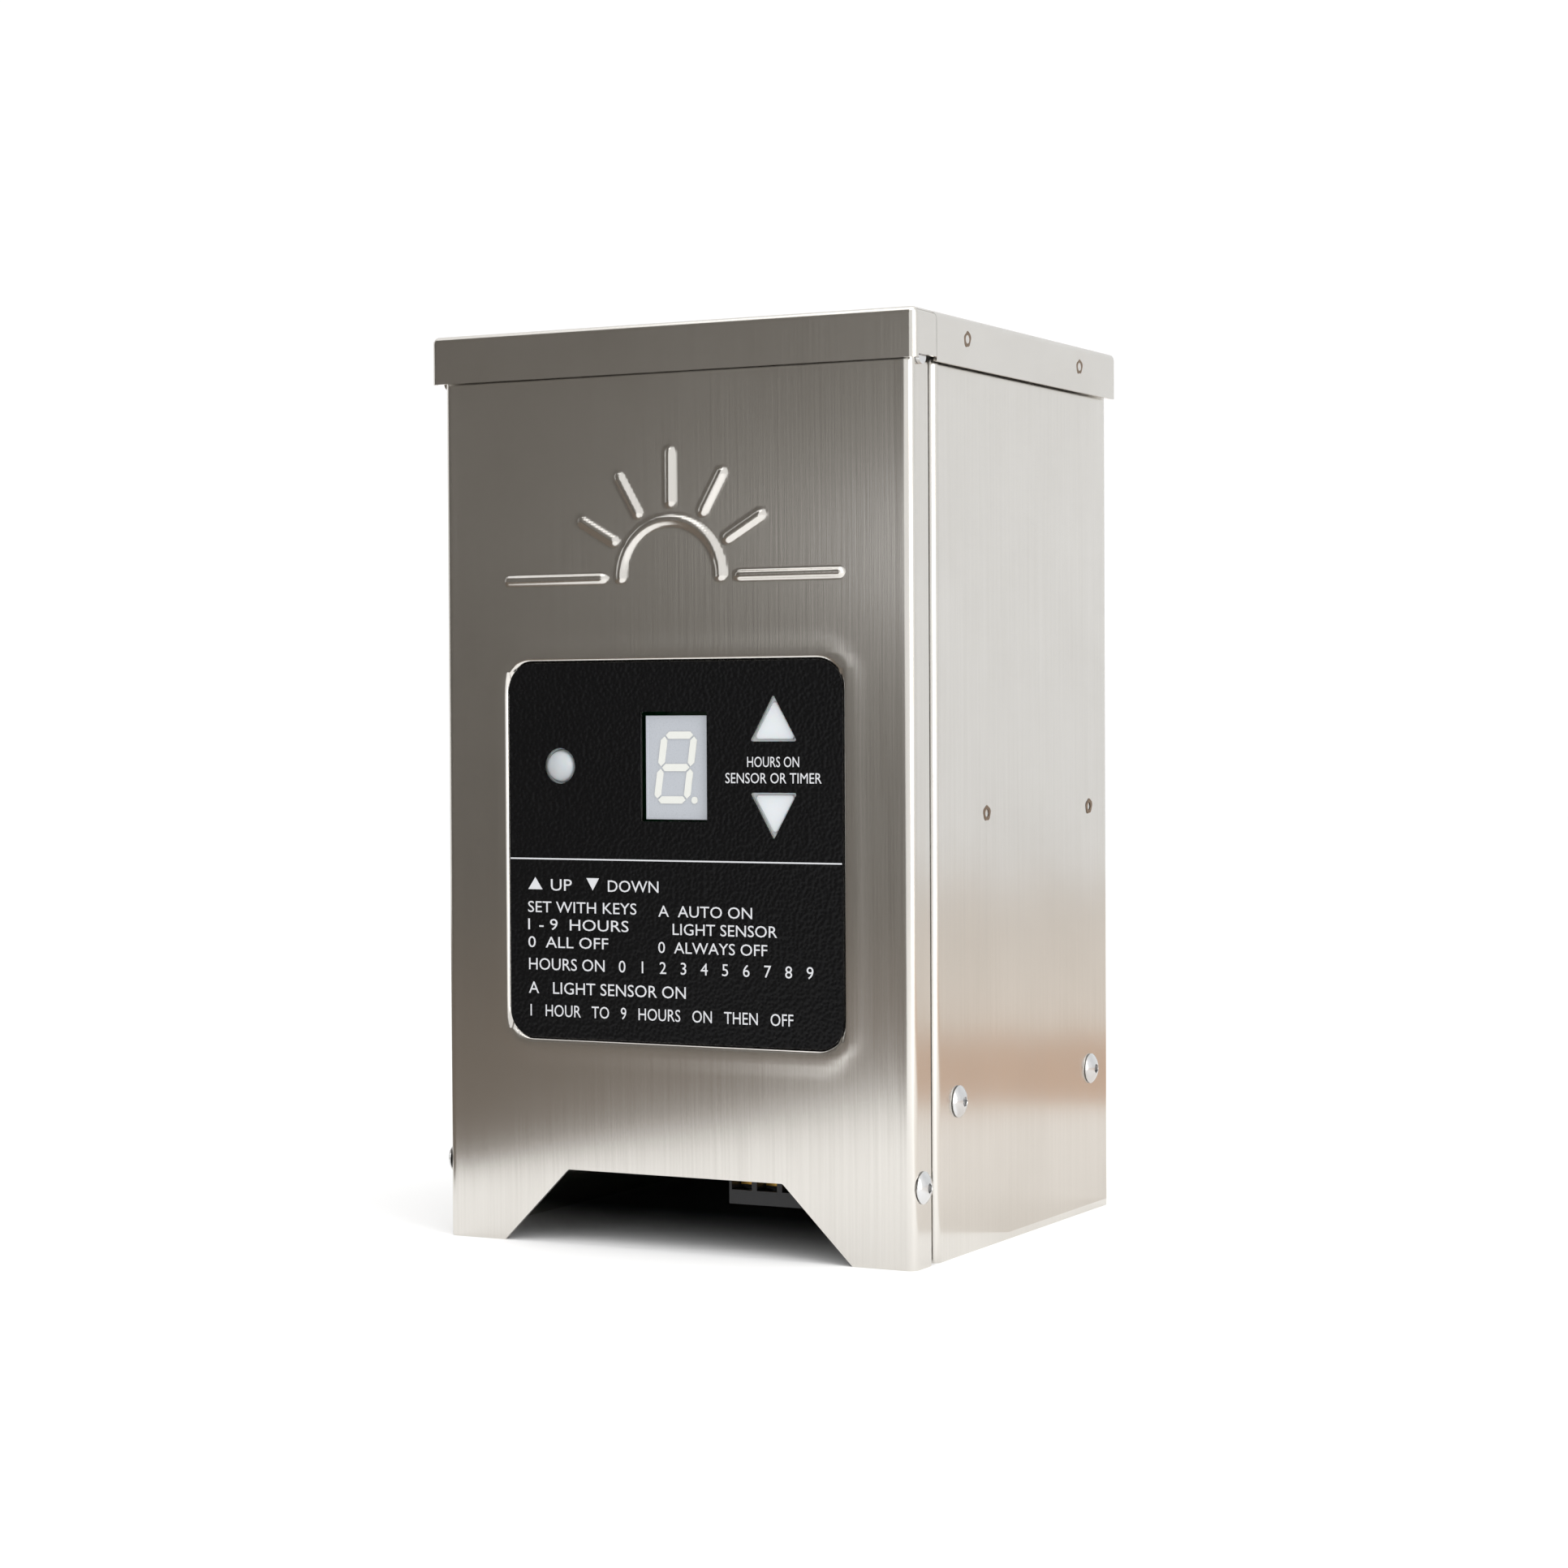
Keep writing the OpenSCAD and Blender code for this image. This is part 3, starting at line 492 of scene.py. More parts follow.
def bevel(target: bpy.types.Object, width: float, segments: int = 3, angle: float = 40.0) -> None:
    """Rounds an object's sharp edges.

    Args:
        target: The object.
        width: Size of the rounding in millimetres.
        segments: Faces across the rounding.
        angle: Edges sharper than this many degrees are rounded.
    """
    step = target.modifiers.new("bevel", "BEVEL")
    step.width = width * MM
    step.segments = segments
    step.limit_method = "ANGLE"
    step.angle_limit = math.radians(angle)
    step.use_clamp_overlap = True
    settle(target)


def publish(target: bpy.types.Object, finish: Finish, body: str, stands_for: Sequence[str] = (),
            sharp: float = 35.0) -> bpy.types.Object:
    """Dresses a finished piece and puts it on its body.

    Args:
        target: The piece.
        finish: Its finish.
        body: The body it rides on.
        stands_for: CAD nodes that it replaces.
        sharp: Edges sharper than this many degrees stay sharp.

    Returns:
        The piece.
    """
    target.data.materials.clear()
    target.data.materials.append(finish.material())
    target.data.shade_smooth()
    target.data.set_sharp_from_angle(angle=math.radians(sharp))
    even = target.modifiers.new("even", "WEIGHTED_NORMAL")
    even.keep_sharp = True
    settle(target)
    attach(target, body)
    if stands_for:
        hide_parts(*stands_for)
    LOG.info("%s rides on %s, %d faces", target.name, body, len(target.data.polygons))
    return target


def rounded(points: Sequence[Point2], radii: Sequence[float], steps: int = 6) -> list[Point2]:
    """Rounds the corners of a closed outline with arcs.

    Args:
        points: The corners.
        radii: Radius at each corner.
        steps: Straight pieces in each arc.

    Returns:
        The rounded outline.
    """
    out: list[Point2] = []
    count = len(points)
    for i, (point, radius) in enumerate(zip(points, radii)):
        here = Vector(point)
        back = (Vector(points[i - 1]) - here).normalized()
        ahead = (Vector(points[(i + 1) % count]) - here).normalized()
        if radius <= 0:
            out.append(tuple(here))
            continue
        half = math.acos(max(-1.0, min(1.0, back.dot(ahead)))) / 2
        reach = radius / math.tan(half)
        centre = here + (back + ahead).normalized() * (radius / math.sin(half))
        start = here + back * reach - centre
        end = here + ahead * reach - centre
        angle = start.angle_signed(end)
        for k in range(steps + 1):
            turn = -angle * k / steps
            out.append((centre.x + start.x * math.cos(turn) - start.y * math.sin(turn),
                        centre.y + start.x * math.sin(turn) + start.y * math.cos(turn)))
    return out


def disc(x: float, z: float, radius: float, steps: int = 40) -> list[Point2]:
    """Gives the outline of a circle.

    Args:
        x: First value of its middle.
        z: Second value of its middle.
        radius: Its radius.
        steps: Number of corners.

    Returns:
        The outline.
    """
    return [(x + radius * math.cos(2 * math.pi * k / steps), z + radius * math.sin(2 * math.pi * k / steps))
            for k in range(steps)]


def plate(x0: float, z0: float, x1: float, z1: float, radius: float, steps: int = 8) -> list[Point2]:
    """Gives the outline of a rectangle with round corners.

    Args:
        x0: Left.
        z0: Foot.
        x1: Right.
        z1: Top.
        radius: Radius of the corners.
        steps: Straight pieces in each corner.

    Returns:
        The outline.
    """
    return rounded([(x0, z0), (x1, z0), (x1, z1), (x0, z1)], [radius] * 4, steps)


def join(parts: Sequence[bpy.types.Object]) -> bpy.types.Object:
    """Joins meshes into the first of them.

    Args:
        parts: The meshes' objects.

    Returns:
        The first object, which now holds them all.
    """
    with bpy.context.temp_override(active_object=parts[0], selected_editable_objects=list(parts),
                                   selected_objects=list(parts)):
        bpy.ops.object.join()
    return parts[0]


# ---------------------------------------------------------------- folded sheet


@dataclass
class FoldedSheet:
    """A sheet bent along upright lines, built as a fine skin on both faces.

    Attributes:
        corners: Middle line of the sheet seen from above, in millimetres.
        radii: Middle-line radius at each inner corner.
        thickness: Thickness of the sheet.
        outward: 1 if the outer face is to the right of the line's direction, -1 if to the left.
        steps: Largest step along each straight stretch.
        heights: Heights of the rows.
        relief: Outward shift of the sheet for plan x, plan y and height arrays.
        arc_steps: Straight pieces in each bend.
        edge: How far both faces draw in at the sheet's edges, which softens them.
    """

    corners: list[Point2]
    radii: list[float]
    thickness: float
    outward: int
    steps: list[float]
    heights: np.ndarray
    relief: Callable[[np.ndarray, np.ndarray, np.ndarray], np.ndarray]
    arc_steps: int = 8
    edge: float = 0.12

    def stations(self) -> np.ndarray:
        """Walks along the middle line and round its bends.

        Returns:
            Plan x, plan y and the outward normal at each station.
        """
        rows: list[tuple[float, float, float, float]] = []
        count = len(self.corners)
        cut = [0.0] * count
        for i in range(1, count - 1):
            a = (Vector(self.corners[i]) - Vector(self.corners[i - 1])).normalized()
            b = (Vector(self.corners[i + 1]) - Vector(self.corners[i])).normalized()
            cut[i] = self.radii[i - 1] * math.tan(math.acos(max(-1, min(1, a.dot(b)))) / 2)
        for i in range(count - 1):
            p, q = Vector(self.corners[i]), Vector(self.corners[i + 1])
            run = (q - p).normalized()
            start, end = p + run * cut[i], q - run * cut[i + 1]
            normal = Vector((run.y, -run.x)) * self.outward
            length = (end - start).length
            pieces = max(1, math.ceil(length / self.steps[i]))
            marks = [k / pieces for k in range(pieces + 1)] if length > 1e-6 else [0.0]
            for t in marks:
                at = start.lerp(end, t)
                rows.append((at.x, at.y, normal.x, normal.y))
            if i < count - 2:
                ahead = (Vector(self.corners[i + 2]) - q).normalized()
                next_normal = Vector((ahead.y, -ahead.x)) * self.outward
                turn_side = 1 if run.x * ahead.y - run.y * ahead.x > 0 else -1
                centre = end + Vector((-run.y, run.x)) * turn_side * self.radii[i]
                for k in range(1, self.arc_steps):
                    mixed = normal.slerp(next_normal, k / self.arc_steps)
                    at = centre + mixed * self.radii[i] * turn_side * self.outward
                    rows.append((at.x, at.y, mixed.x, mixed.y))
        kept = [rows[0]]
        for row in rows[1:]:
            if math.hypot(row[0] - kept[-1][0], row[1] - kept[-1][1]) > 1e-4:
                kept.append(row)
        return np.array(kept)

    def solid(self) -> Solid:
        """Builds the closed sheet.

        Returns:
            The solid.
        """
        line = self.stations()
        heights = np.asarray(self.heights, float)
        across, up = len(line), len(heights)
        x, z = np.meshgrid(line[:, 0], heights, indexing="ij")
        y = np.repeat(line[:, 1][:, None], up, 1)
        nx = np.repeat(line[:, 2][:, None], up, 1)
        ny = np.repeat(line[:, 3][:, None], up, 1)
        shift = self.relief(x, y, z)
        half = np.full((across, up), self.thickness / 2)
        half[0, :] -= self.edge
        half[-1, :] -= self.edge
        half[:, 0] -= self.edge
        half[:, -1] -= self.edge
        skins = []
        for side in (1, -1):
            reach = shift + side * half
            skins.append(np.stack([x + nx * reach, y + ny * reach, z], -1).reshape(-1, 3))
        total = across * up
        grid = np.arange(total).reshape(across, up)
        a, b, c, d = grid[:-1, :-1], grid[1:, :-1], grid[1:, 1:], grid[:-1, 1:]
        outer = np.stack([a, b, c, d], -1).reshape(-1, 4)
        inner = outer[:, ::-1] + total
        rim = np.concatenate([grid[:, 0], grid[-1, 1:], grid[-2::-1, -1], grid[0, -2:0:-1]])
        following = np.roll(rim, -1)
        walls = np.stack([rim, rim + total, following + total, following], -1)
        made = Solid()
        made.points = [tuple(p) for p in np.concatenate(skins).tolist()]
        made.faces = [tuple(f) for f in np.concatenate([outer, inner, walls]).tolist()]
        return made


def rows_between(low: float, high: float, step: float, edge: float = 0.2,
                 fine: Sequence[tuple[float, float, float]] = ()) -> np.ndarray:
    """Gives row heights with a short first and last row and some finer zones.

    Args:
        low: Lowest row.
        high: Highest row.
        step: Step outside the fine zones.
        edge: Height of the first and last row.
        fine: Zones as low, high and step.

    Returns:
        The heights, rising.
    """
    marks = {low, low + edge, high - edge, high}
    at = low + edge
    while at < high - edge:
        zone = next((f for f in fine if f[0] <= at < f[1]), None)
        ahead = [f[0] for f in fine if f[0] > at + 1e-6]
        stride = zone[2] if zone else step
        at = min(at + stride, min(ahead) if ahead and not zone else 1e9)
        if at < high - edge:
            marks.add(round(at, 4))
    return np.array(sorted(marks))


# ---------------------------------------------------------------- real sizes, in millimetres


@dataclass(frozen=True)
class Sizes:
    """Sizes of the sheet metal that several pieces share.

    Attributes:
        sheet: Thickness of the folded sheet.
        bend: Outer radius of the vertical bends.
        lens: Centre of the light sensor in x and z.
        lens_r: Radius of its hole.
        sun: Centre of the emblem in x and z.
        bead: Width of a pressed bead.
        proud: Height of a pressed bead.
        recess: Depth of the label's recess.
        notch: Half width at the top, half width at the foot and height of the cable notch.
        cover_screw: A cover screw's distance behind the front face, and its height.
        weld_rise: How much of the lid's width is kept for the oxide rings on its skirt.
    """

    sheet: float = 1.0
    bend: float = 2.5
    lens: Point2 = (-36.6, 136.9)
    lens_r: float = 5.1
    sun: Point2 = (0.0, 190.0)
    bead: float = 2.6
    proud: float = 0.9
    recess: float = 0.8
    notch: Point3 = (34.5, 56.0, 21.5)
    cover_screw: Point2 = (5.2, 22.2)
    weld_rise: float = 0.01


S = Sizes()
COVER_LOW, COVER_HIGH = corners("front_cover")
CASE_HIGH = corners("case_shell")[1]
LID_LOW, LID_HIGH = corners("lid")
LABEL_LOW, LABEL_HIGH = corners("label_panel")
FRONT_Y = COVER_LOW.y + S.proud  # the cover's flat front face
PANEL_BACK = FRONT_Y + S.recess + S.sheet  # rear face of the sheet behind the label
HALF_W = COVER_HIGH.x
BACK_Y = CASE_HIGH.y


# ---------------------------------------------------------------- front cover


@dataclass(frozen=True)
class Emblem:
    """A rising sun over a horizon, as distances to its beads' middle lines.

    Attributes:
        sun_r: Radius of the sun's bead.
        rays: Distances of a ray's two ends from the sun's middle.
        tall: Distance of the upright ray's far end.
        horizon: Distances of the horizon's two ends from the sun's middle.
    """

    sun_r: float = 16.0
    rays: Point2 = (21.0, 33.0)
    tall: float = 35.0
    horizon: Point2 = (22.0, 53.0)

    def lines(self) -> list[tuple[Point2, Point2]]:
        """Lists the straight beads.

        Returns:
            Each bead as a pair of ends.
        """
        x, z = S.sun
        found = [((x + s * self.horizon[0], z), (x + s * self.horizon[1], z)) for s in (-1, 1)]
        near, far = self.rays
        for turn in range(30, 151, 30):
            c, s = math.cos(math.radians(turn)), math.sin(math.radians(turn))
            reach = self.tall if turn == 90 else far
            found.append(((x + near * c, z + near * s), (x + reach * c, z + reach * s)))
        return found

    def distance(self, x: np.ndarray, z: np.ndarray) -> np.ndarray:
        """Gives the distance from each point to the nearest middle line.

        Args:
            x: The points' places across the cover.
            z: Their heights.

        Returns:
            The distances.
        """
        cx, cz = S.sun
        above = np.abs(np.hypot(x - cx, z - cz) - self.sun_r)
        ends = np.minimum(np.hypot(x - cx - self.sun_r, z - cz), np.hypot(x - cx + self.sun_r, z - cz))
        best = np.where(z >= cz, above, ends)
        for (ax, az), (bx, bz) in self.lines():
            along = ((x - ax) * (bx - ax) + (z - az) * (bz - az)) / ((bx - ax) ** 2 + (bz - az) ** 2)
            t = np.clip(along, 0, 1)
            best = np.minimum(best, np.hypot(x - ax - t * (bx - ax), z - az - t * (bz - az)))
        return best


@dataclass(frozen=True)
class FrontCover:
    """The hinged cover: a folded sheet with a pressed emblem, a recess for the label and a notch.

    Attributes:
        emblem: The emblem pressed out of it.
        top: Height of the front's upper edge, under the ears.
        gap: Room between the label and the recess's edge.
        corner: Radius of the recess's corners.
        slope: Width of a pressed wall, of the recess and of a bead.
        slot_r: Half width of the slot under a cover screw.
        pin: The pivot pin's distance behind the front face, and its height.
        pin_r: Radius of the pin's hole.
    """

    emblem: Emblem = Emblem()
    top: float = 248.9
    gap: float = 0.25
    corner: float = 7.75
    slope: Point2 = (0.8, 1.05)
    slot_r: float = 2.4
    pin: Point2 = (4.5, 248.3)
    pin_r: float = 1.55

    @property
    def recess(self) -> tuple[float, float, float, float]:
        """Gives the recess's left, foot, right and top."""
        low, high = LABEL_LOW, LABEL_HIGH
        return low.x - self.gap, low.z - self.gap, high.x + self.gap, high.z + self.gap

    def relief(self, x: np.ndarray, y: np.ndarray, z: np.ndarray) -> np.ndarray:
        """Gives the sheet's outward shift: beads out, recess in, and a slight unevenness.

        Args:
            x: The points' places across the cover.
            y: Their depths.
            z: Their heights.

        Returns:
            The shifts.
        """
        on_front = smoothstep((HALF_W - 3 - np.abs(x)) / 1.0) * (y < FRONT_Y + 1)
        rise = smoothstep((S.bead / 2 + 0.3 - self.emblem.distance(x, z)) / self.slope[1])
        x0, z0, x1, z1 = self.recess
        dx = np.maximum(np.abs(x - (x0 + x1) / 2) - (x1 - x0) / 2 + self.corner, 0)
        dz = np.maximum(np.abs(z - (z0 + z1) / 2) - (z1 - z0) / 2 + self.corner, 0)
        inside = self.corner - np.hypot(dx, dz)
        step = smoothstep((inside + 0.75) / self.slope[0])
        # a soft roll beside the pressed edge, as the press leaves it, and gentle waves in the sheet
        roll = 0.10 * np.exp(-((inside + 3.2) / 2.4) ** 2)
        swell = 0.05 * np.sin(x / 31.0 + 0.7) * np.sin(z / 43.0 + 0.4) + 0.04 * np.sin(x / 17.0 - z / 60.0)
        pressed = rise * S.proud * 0.9 - step * S.recess
        return on_front * (pressed + (roll + swell - 0.06) * (1 - step) * (1 - rise))

    def build(self) -> None:
        """Builds the cover and puts it on its body."""
        mid_x = HALF_W - S.sheet / 2
        mid_y = FRONT_Y + S.sheet / 2
        rear = COVER_HIGH.y
        fold = S.bend - S.sheet / 2
        edge = self.recess[2]
        marks = [-edge - 1.5, -edge + 2.5, edge - 2.5, edge + 1.5]
        line = [(-mid_x, rear), (-mid_x, mid_y), *((m, mid_y) for m in marks), (mid_x, mid_y), (mid_x, rear)]
        # finer rows at the recess's foot and top, at the horizon and at the rays
        fine = [(57.4, 61.4, 0.32), (164, 168, 0.32), (187.5, 192.5, 0.35), (192.5, 227, 0.7)]
        sheet = FoldedSheet(
            corners=line, radii=[fold, 0, 0, 0, 0, fold], thickness=S.sheet, outward=1,
            steps=[0.9, 1.6, 0.32, 0.8, 0.32, 1.6, 0.9],
            heights=rows_between(0.0, COVER_HIGH.z, 2.0, fine=fine), relief=self.relief,
        )
        cover = sheet.solid().object("cover_sheet")
        self._cut(cover)
        publish(cover, STAINLESS, "cover", ["front_cover"], sharp=50)

    def _cut(self, cover: bpy.types.Object) -> None:
        """Cuts the top between the ears, the notch, the panel's openings, the slots and the pin holes.

        Args:
            cover: The folded cover.
        """
        through = (FRONT_Y - 2, FRONT_Y + S.bend)
        x0, x1, z0, z1 = -HALF_W - 1, HALF_W + 1, self.top, COVER_HIGH.z + 1
        above = [(x0, z0), (x1, z0), (x1, z1), (x0, z1)]
        carve(cover, Solid().prism(above, at_depth_y, *through).object("cut_top"))
        top, foot, high = S.notch
        notch = rounded([(-foot - 1, -1), (foot + 1, -1), (foot, 0), (top, high), (-top, high), (-foot, 0)],
                        [0, 0, 0, 1.2, 1.2, 0])
        carve(cover, Solid().prism(notch, at_depth_y, *through).object("cut_notch"))
        for k, outline in enumerate(Panel.openings()):
            opening = Solid().prism(outline, at_depth_y, FRONT_Y - 2, FRONT_Y + 4)
            carve(cover, opening.object(f"cut_panel_{k}"))
        slot_y, slot_z = FRONT_Y + S.cover_screw[0], S.cover_screw[1]
        slot = [(slot_y + self.slot_r * math.cos(a), slot_z + self.slot_r * math.sin(a))
                for a in np.linspace(math.pi / 2, 1.5 * math.pi, 14)]
        slot += [(COVER_HIGH.y + 1, slot_z - self.slot_r), (COVER_HIGH.y + 1, slot_z + self.slot_r)]
        pin = disc(FRONT_Y + self.pin[0], self.pin[1], self.pin_r, 24)
        for k, s in enumerate((-1, 1)):
            side = (s * (HALF_W - 2), s * (HALF_W + 1))
            carve(cover, Solid().prism(slot, at_depth_x, *side).object(f"cut_slot_{k}"))
            carve(cover, Solid().prism(pin, at_depth_x, *side).object(f"cut_pin_{k}"))


# ---------------------------------------------------------------- timer panel


class Icon(Enum):
    """Generic marks printed on the label."""

    UP = "up"
    DOWN = "down"


@dataclass(frozen=True)
class Bar:
    """A line of small print, drawn as words of plain type.

    Attributes:
        text: The generic wording.
        x: Left end.
        z: Foot of the letters.
        height: Height of a capital.
        width: Length of the line.
    """

    text: str
    x: float
    z: float
    height: float
    width: float


PRINT_LINES = [
    Bar("UP", -39.8, 101.2, 3.3, 7.0),
    Bar("DOWN", -20.9, 101.2, 3.3, 16.5),
    Bar("SET WITH KEYS", -47.5, 94.9, 3.2, 35.9),
    Bar("1 - 9  HOURS", -47.5, 89.9, 3.2, 33.3),
    Bar("0  ALL OFF", -47.5, 84.8, 3.2, 26.6),
    Bar("A  AUTO ON", -4.5, 94.5, 3.2, 29.9),
    Bar("LIGHT SENSOR", 0.1, 89.5, 3.2, 33.1),
    Bar("0  ALWAYS OFF", -4.6, 84.3, 3.2, 34.7),
    Bar("HOURS ON   0   1   2   3   4   5   6   7   8   9", -47.3, 78.4, 3.4, 91.7),
    Bar("A   LIGHT SENSOR ON", -47.4, 71.6, 3.4, 51.6),
    Bar("1   HOUR   TO   9   HOURS   ON   THEN   OFF", -46.9, 65.1, 3.4, 85.0),
    Bar("HOURS ON", 24.1, 136.7, 2.9, 16.2),
    Bar("SENSOR OR TIMER", 17.2, 132.2, 2.9, 30.0),
]


@dataclass(frozen=True)
class Panel:
    """The label and everything that sits in it.

    Attributes:
        arrow_x: Middle of both buttons.
        half: Half width of a button's opening, before its corners are rounded.
        high: Height of a button's opening, before its corners are rounded.
        up_z: Foot of the upper opening.
        down_z: Top of the lower opening.
        window: Left, foot, right and top of the display's opening.
        label_r: Radius of the label's corners.
        ink: Front and rear of the print, from the label's face.
        rule: Half length, foot and top of the line across the label.
        digit: Width and height of the digit over its bars.
        bar: Width of one bar of the digit.
        lean: Slope of the digit in degrees.
        button_gap: Room round a button in its opening.
    """

    arrow_x: float = 32.2
    half: float = 7.4
    high: float = 13.2
    up_z: float = 143.8
    down_z: float = 129.6
    window: tuple[float, float, float, float] = (-10.3, 121.3, 11.3, 152.2)
    label_r: float = 7.5
    ink: Point2 = (-0.03, 0.02)
    rule: Point3 = (53.3, 110.1, 110.5)
    digit: Point2 = (11.6, 20.3)
    bar: float = 2.1
    lean: float = 8.0
    button_gap: float = 0.8

    @staticmethod
    def triangle(base_z: float, turn: int, half: float, high: float, radius: float,
                 steps: int = 8) -> list[Point2]:
        """Gives a triangle with round corners.

        Args:
            base_z: Height of its base.
            turn: 1 to point up, -1 to point down.
            half: Half of its width before the corners are rounded.
            high: Its height before the corners are rounded.
            radius: Radius of its corners.
            steps: Faces in each corner.

        Returns:
            The outline in x and z.
        """
        centres = [(half - 1.6 * radius, radius), (0.0, high - 2.1 * radius), (1.6 * radius - half, radius)]
        slope = math.atan2(centres[1][1] - centres[0][1], -centres[0][0])
        tilt = slope - math.pi / 2
        spans = [(-math.pi / 2, tilt), (tilt, math.pi - tilt), (math.pi - tilt, 1.5 * math.pi)]
        out: list[Point2] = []
        for (x, z), (start, end) in zip(centres, spans):
            for k in range(steps + 1):
                a = start + (end - start) * k / steps
                out.append((Panel.arrow_x + x + radius * math.cos(a),
                            base_z + turn * (z + radius * math.sin(a))))
        return out

    @staticmethod
    def openings() -> list[list[Point2]]:
        """Draws what is cut through the panel.

        Returns:
            The outlines of the lens hole, the display window and the two button openings.
        """
        x0, z0, x1, z1 = Panel.window
        return [
            disc(S.lens[0], S.lens[1], S.lens_r),
            plate(x0, z0, x1, z1, 0.5, 4),
            Panel.triangle(Panel.up_z, 1, Panel.half, Panel.high, 0.5),
            Panel.triangle(Panel.down_z, -1, Panel.half, Panel.high, 0.5),
        ]

    def build(self) -> None:
        """Builds the label, the print, the lens, the display and the buttons."""
        self._label()
        self._print()
        self._lens()
        self._display()
        self._button("up_button_cap", "up_button", self.up_z, 1)
        self._button("down_button_cap", "down_button", self.down_z, -1)

    def _label(self) -> None:
        """Builds the printed film plate, with a soft edge."""
        low, high = LABEL_LOW, LABEL_HIGH
        outline = plate(low.x, low.z, high.x, high.z, self.label_r, 14)
        label = Solid().prism(outline, at_depth_y, low.y, high.y).object("label_plate")
        for k, opening in enumerate(self.openings()):
            carve(label, Solid().prism(opening, at_depth_y, low.y - 1, high.y + 1).object(f"cut_label_{k}"))
        bevel(label, 0.16, 2, 60)
        publish(label, LABEL, "cover", ["label_panel"])

    def _print(self) -> None:
        """Prints the small type, the arrows and the line, a twentieth of a millimetre thick."""
        front, rear = LABEL_LOW.y + self.ink[0], LABEL_LOW.y + self.ink[1]
        reach, foot, top = self.rule
        ink = Solid()
        ink.prism([(-reach, foot), (reach, foot), (reach, top), (-reach, top)], at_depth_y, front, rear)
        for icon, x0, x1 in ((Icon.UP, -47.4, -42.6), (Icon.DOWN, -28.0, -23.8)):
            z0, z1 = (101.5, 105.0) if icon is Icon.UP else (105.0, 101.5)
            ink.prism([(x0, z0), (x1, z0), ((x0 + x1) / 2, z1)], at_depth_y, front, rear)
        marks = ink.object("label_ink")
        words = [self._word(f"print_{k}", line, front) for k, line in enumerate(PRINT_LINES)]
        join([marks, *words])
        publish(marks, PRINT, "cover", ())

    @staticmethod
    def _word(name: str, line: Bar, front: float) -> bpy.types.Object:
        """Draws one line of type as a mesh on the label's face.

        Args:
            name: Object name.
            line: The wording, its place and its size.
            front: Depth of the print's face.

        Returns:
            The mesh object.
        """
        curve = bpy.data.curves.new(name, "FONT")
        curve.body = line.text
        curve.size = 1.0
        curve.extrude = 0.0
        curve.resolution_u = 3
        text = bpy.data.objects.new(name, curve)
        bpy.context.scene.collection.objects.link(text)
        bpy.context.view_layer.update()
        graph = bpy.context.evaluated_depsgraph_get()
        mesh = bpy.data.meshes.new_from_object(text.evaluated_get(graph))
        bpy.data.objects.remove(text)
        flat = np.array([v.co for v in mesh.vertices], float)
        low, high = flat.min(0), flat.max(0)
        fit = np.empty_like(flat)
        fit[:, 0] = line.x + (flat[:, 0] - low[0]) / (high[0] - low[0]) * line.width
        fit[:, 1] = front
        fit[:, 2] = line.z + (flat[:, 1] - low[1]) / (high[1] - low[1]) * line.height
        mesh.vertices.foreach_set("co", (fit * MM).ravel())
        made = bpy.data.objects.new(name, mesh)
        bpy.context.scene.collection.objects.link(made)
        return made

    @staticmethod
    def _lens() -> None:
        """Builds the light sensor's dome with its collar behind the cover."""
        low, high = corners("sensor_lens")
        x, z = S.lens
        dome, collar = S.lens_r - 0.3, S.lens_r + 1.2
        centre = low.y + dome
        profile = [(0.02, low.y)]
        profile += [(dome * math.sin(a), centre - dome * math.cos(a))
                    for a in np.linspace(0.08, math.pi / 2, 18)]
        profile += [(dome, PANEL_BACK), (collar, PANEL_BACK), (collar, PANEL_BACK + 1),
                    (dome, PANEL_BACK + 1), (dome, high.y), (0.02, high.y)]
        lens = Solid().lathe(profile, lambda a, b, d: (x + a, d, z + b), 56).object("sensor_dome")
        publish(lens, FROSTED, "cover", ["sensor_lens"])

    def _display(self) -> None:
        """Builds the display's housing with a rounded rim and its seven bars."""
        low, high = corners("display_body")
        body = Solid().prism([(low.x, low.z), (high.x, low.z), (high.x, high.z), (low.x, high.z)],
                             at_depth_y, low.y, high.y).object("display_housing")
        # a shallow tray, so the face lies just behind its rim
        tray = Solid().prism(plate(low.x + 0.7, low.z + 0.7, high.x - 0.7, high.z - 0.7, 0.5, 4),
                             at_depth_y, low.y - 1, low.y + 0.12)
        carve(body, tray.object("cut_tray"))
        bevel(body, 0.25, 3)
        publish(body, DISPLAY, "cover", ["display_body"])
        face = corners("display_segments")[0].y
        mid_x, mid_z = (low.x + high.x) / 2 - 0.4, (low.z + high.z) / 2
        half_w, half_h = (self.digit[0] - self.bar) / 2, (self.digit[1] - self.bar) / 2
        tip, gap = self.bar / 2, 0.35
        slope = math.tan(math.radians(self.lean))
        bars = Solid()

        def lay(points: Sequence[Point2]) -> None:
            """Leans one bar, sets its place and adds it."""
            bars.prism([(mid_x + a + b * slope, mid_z + b) for a, b in points], at_depth_y, face, low.y + 0.2)

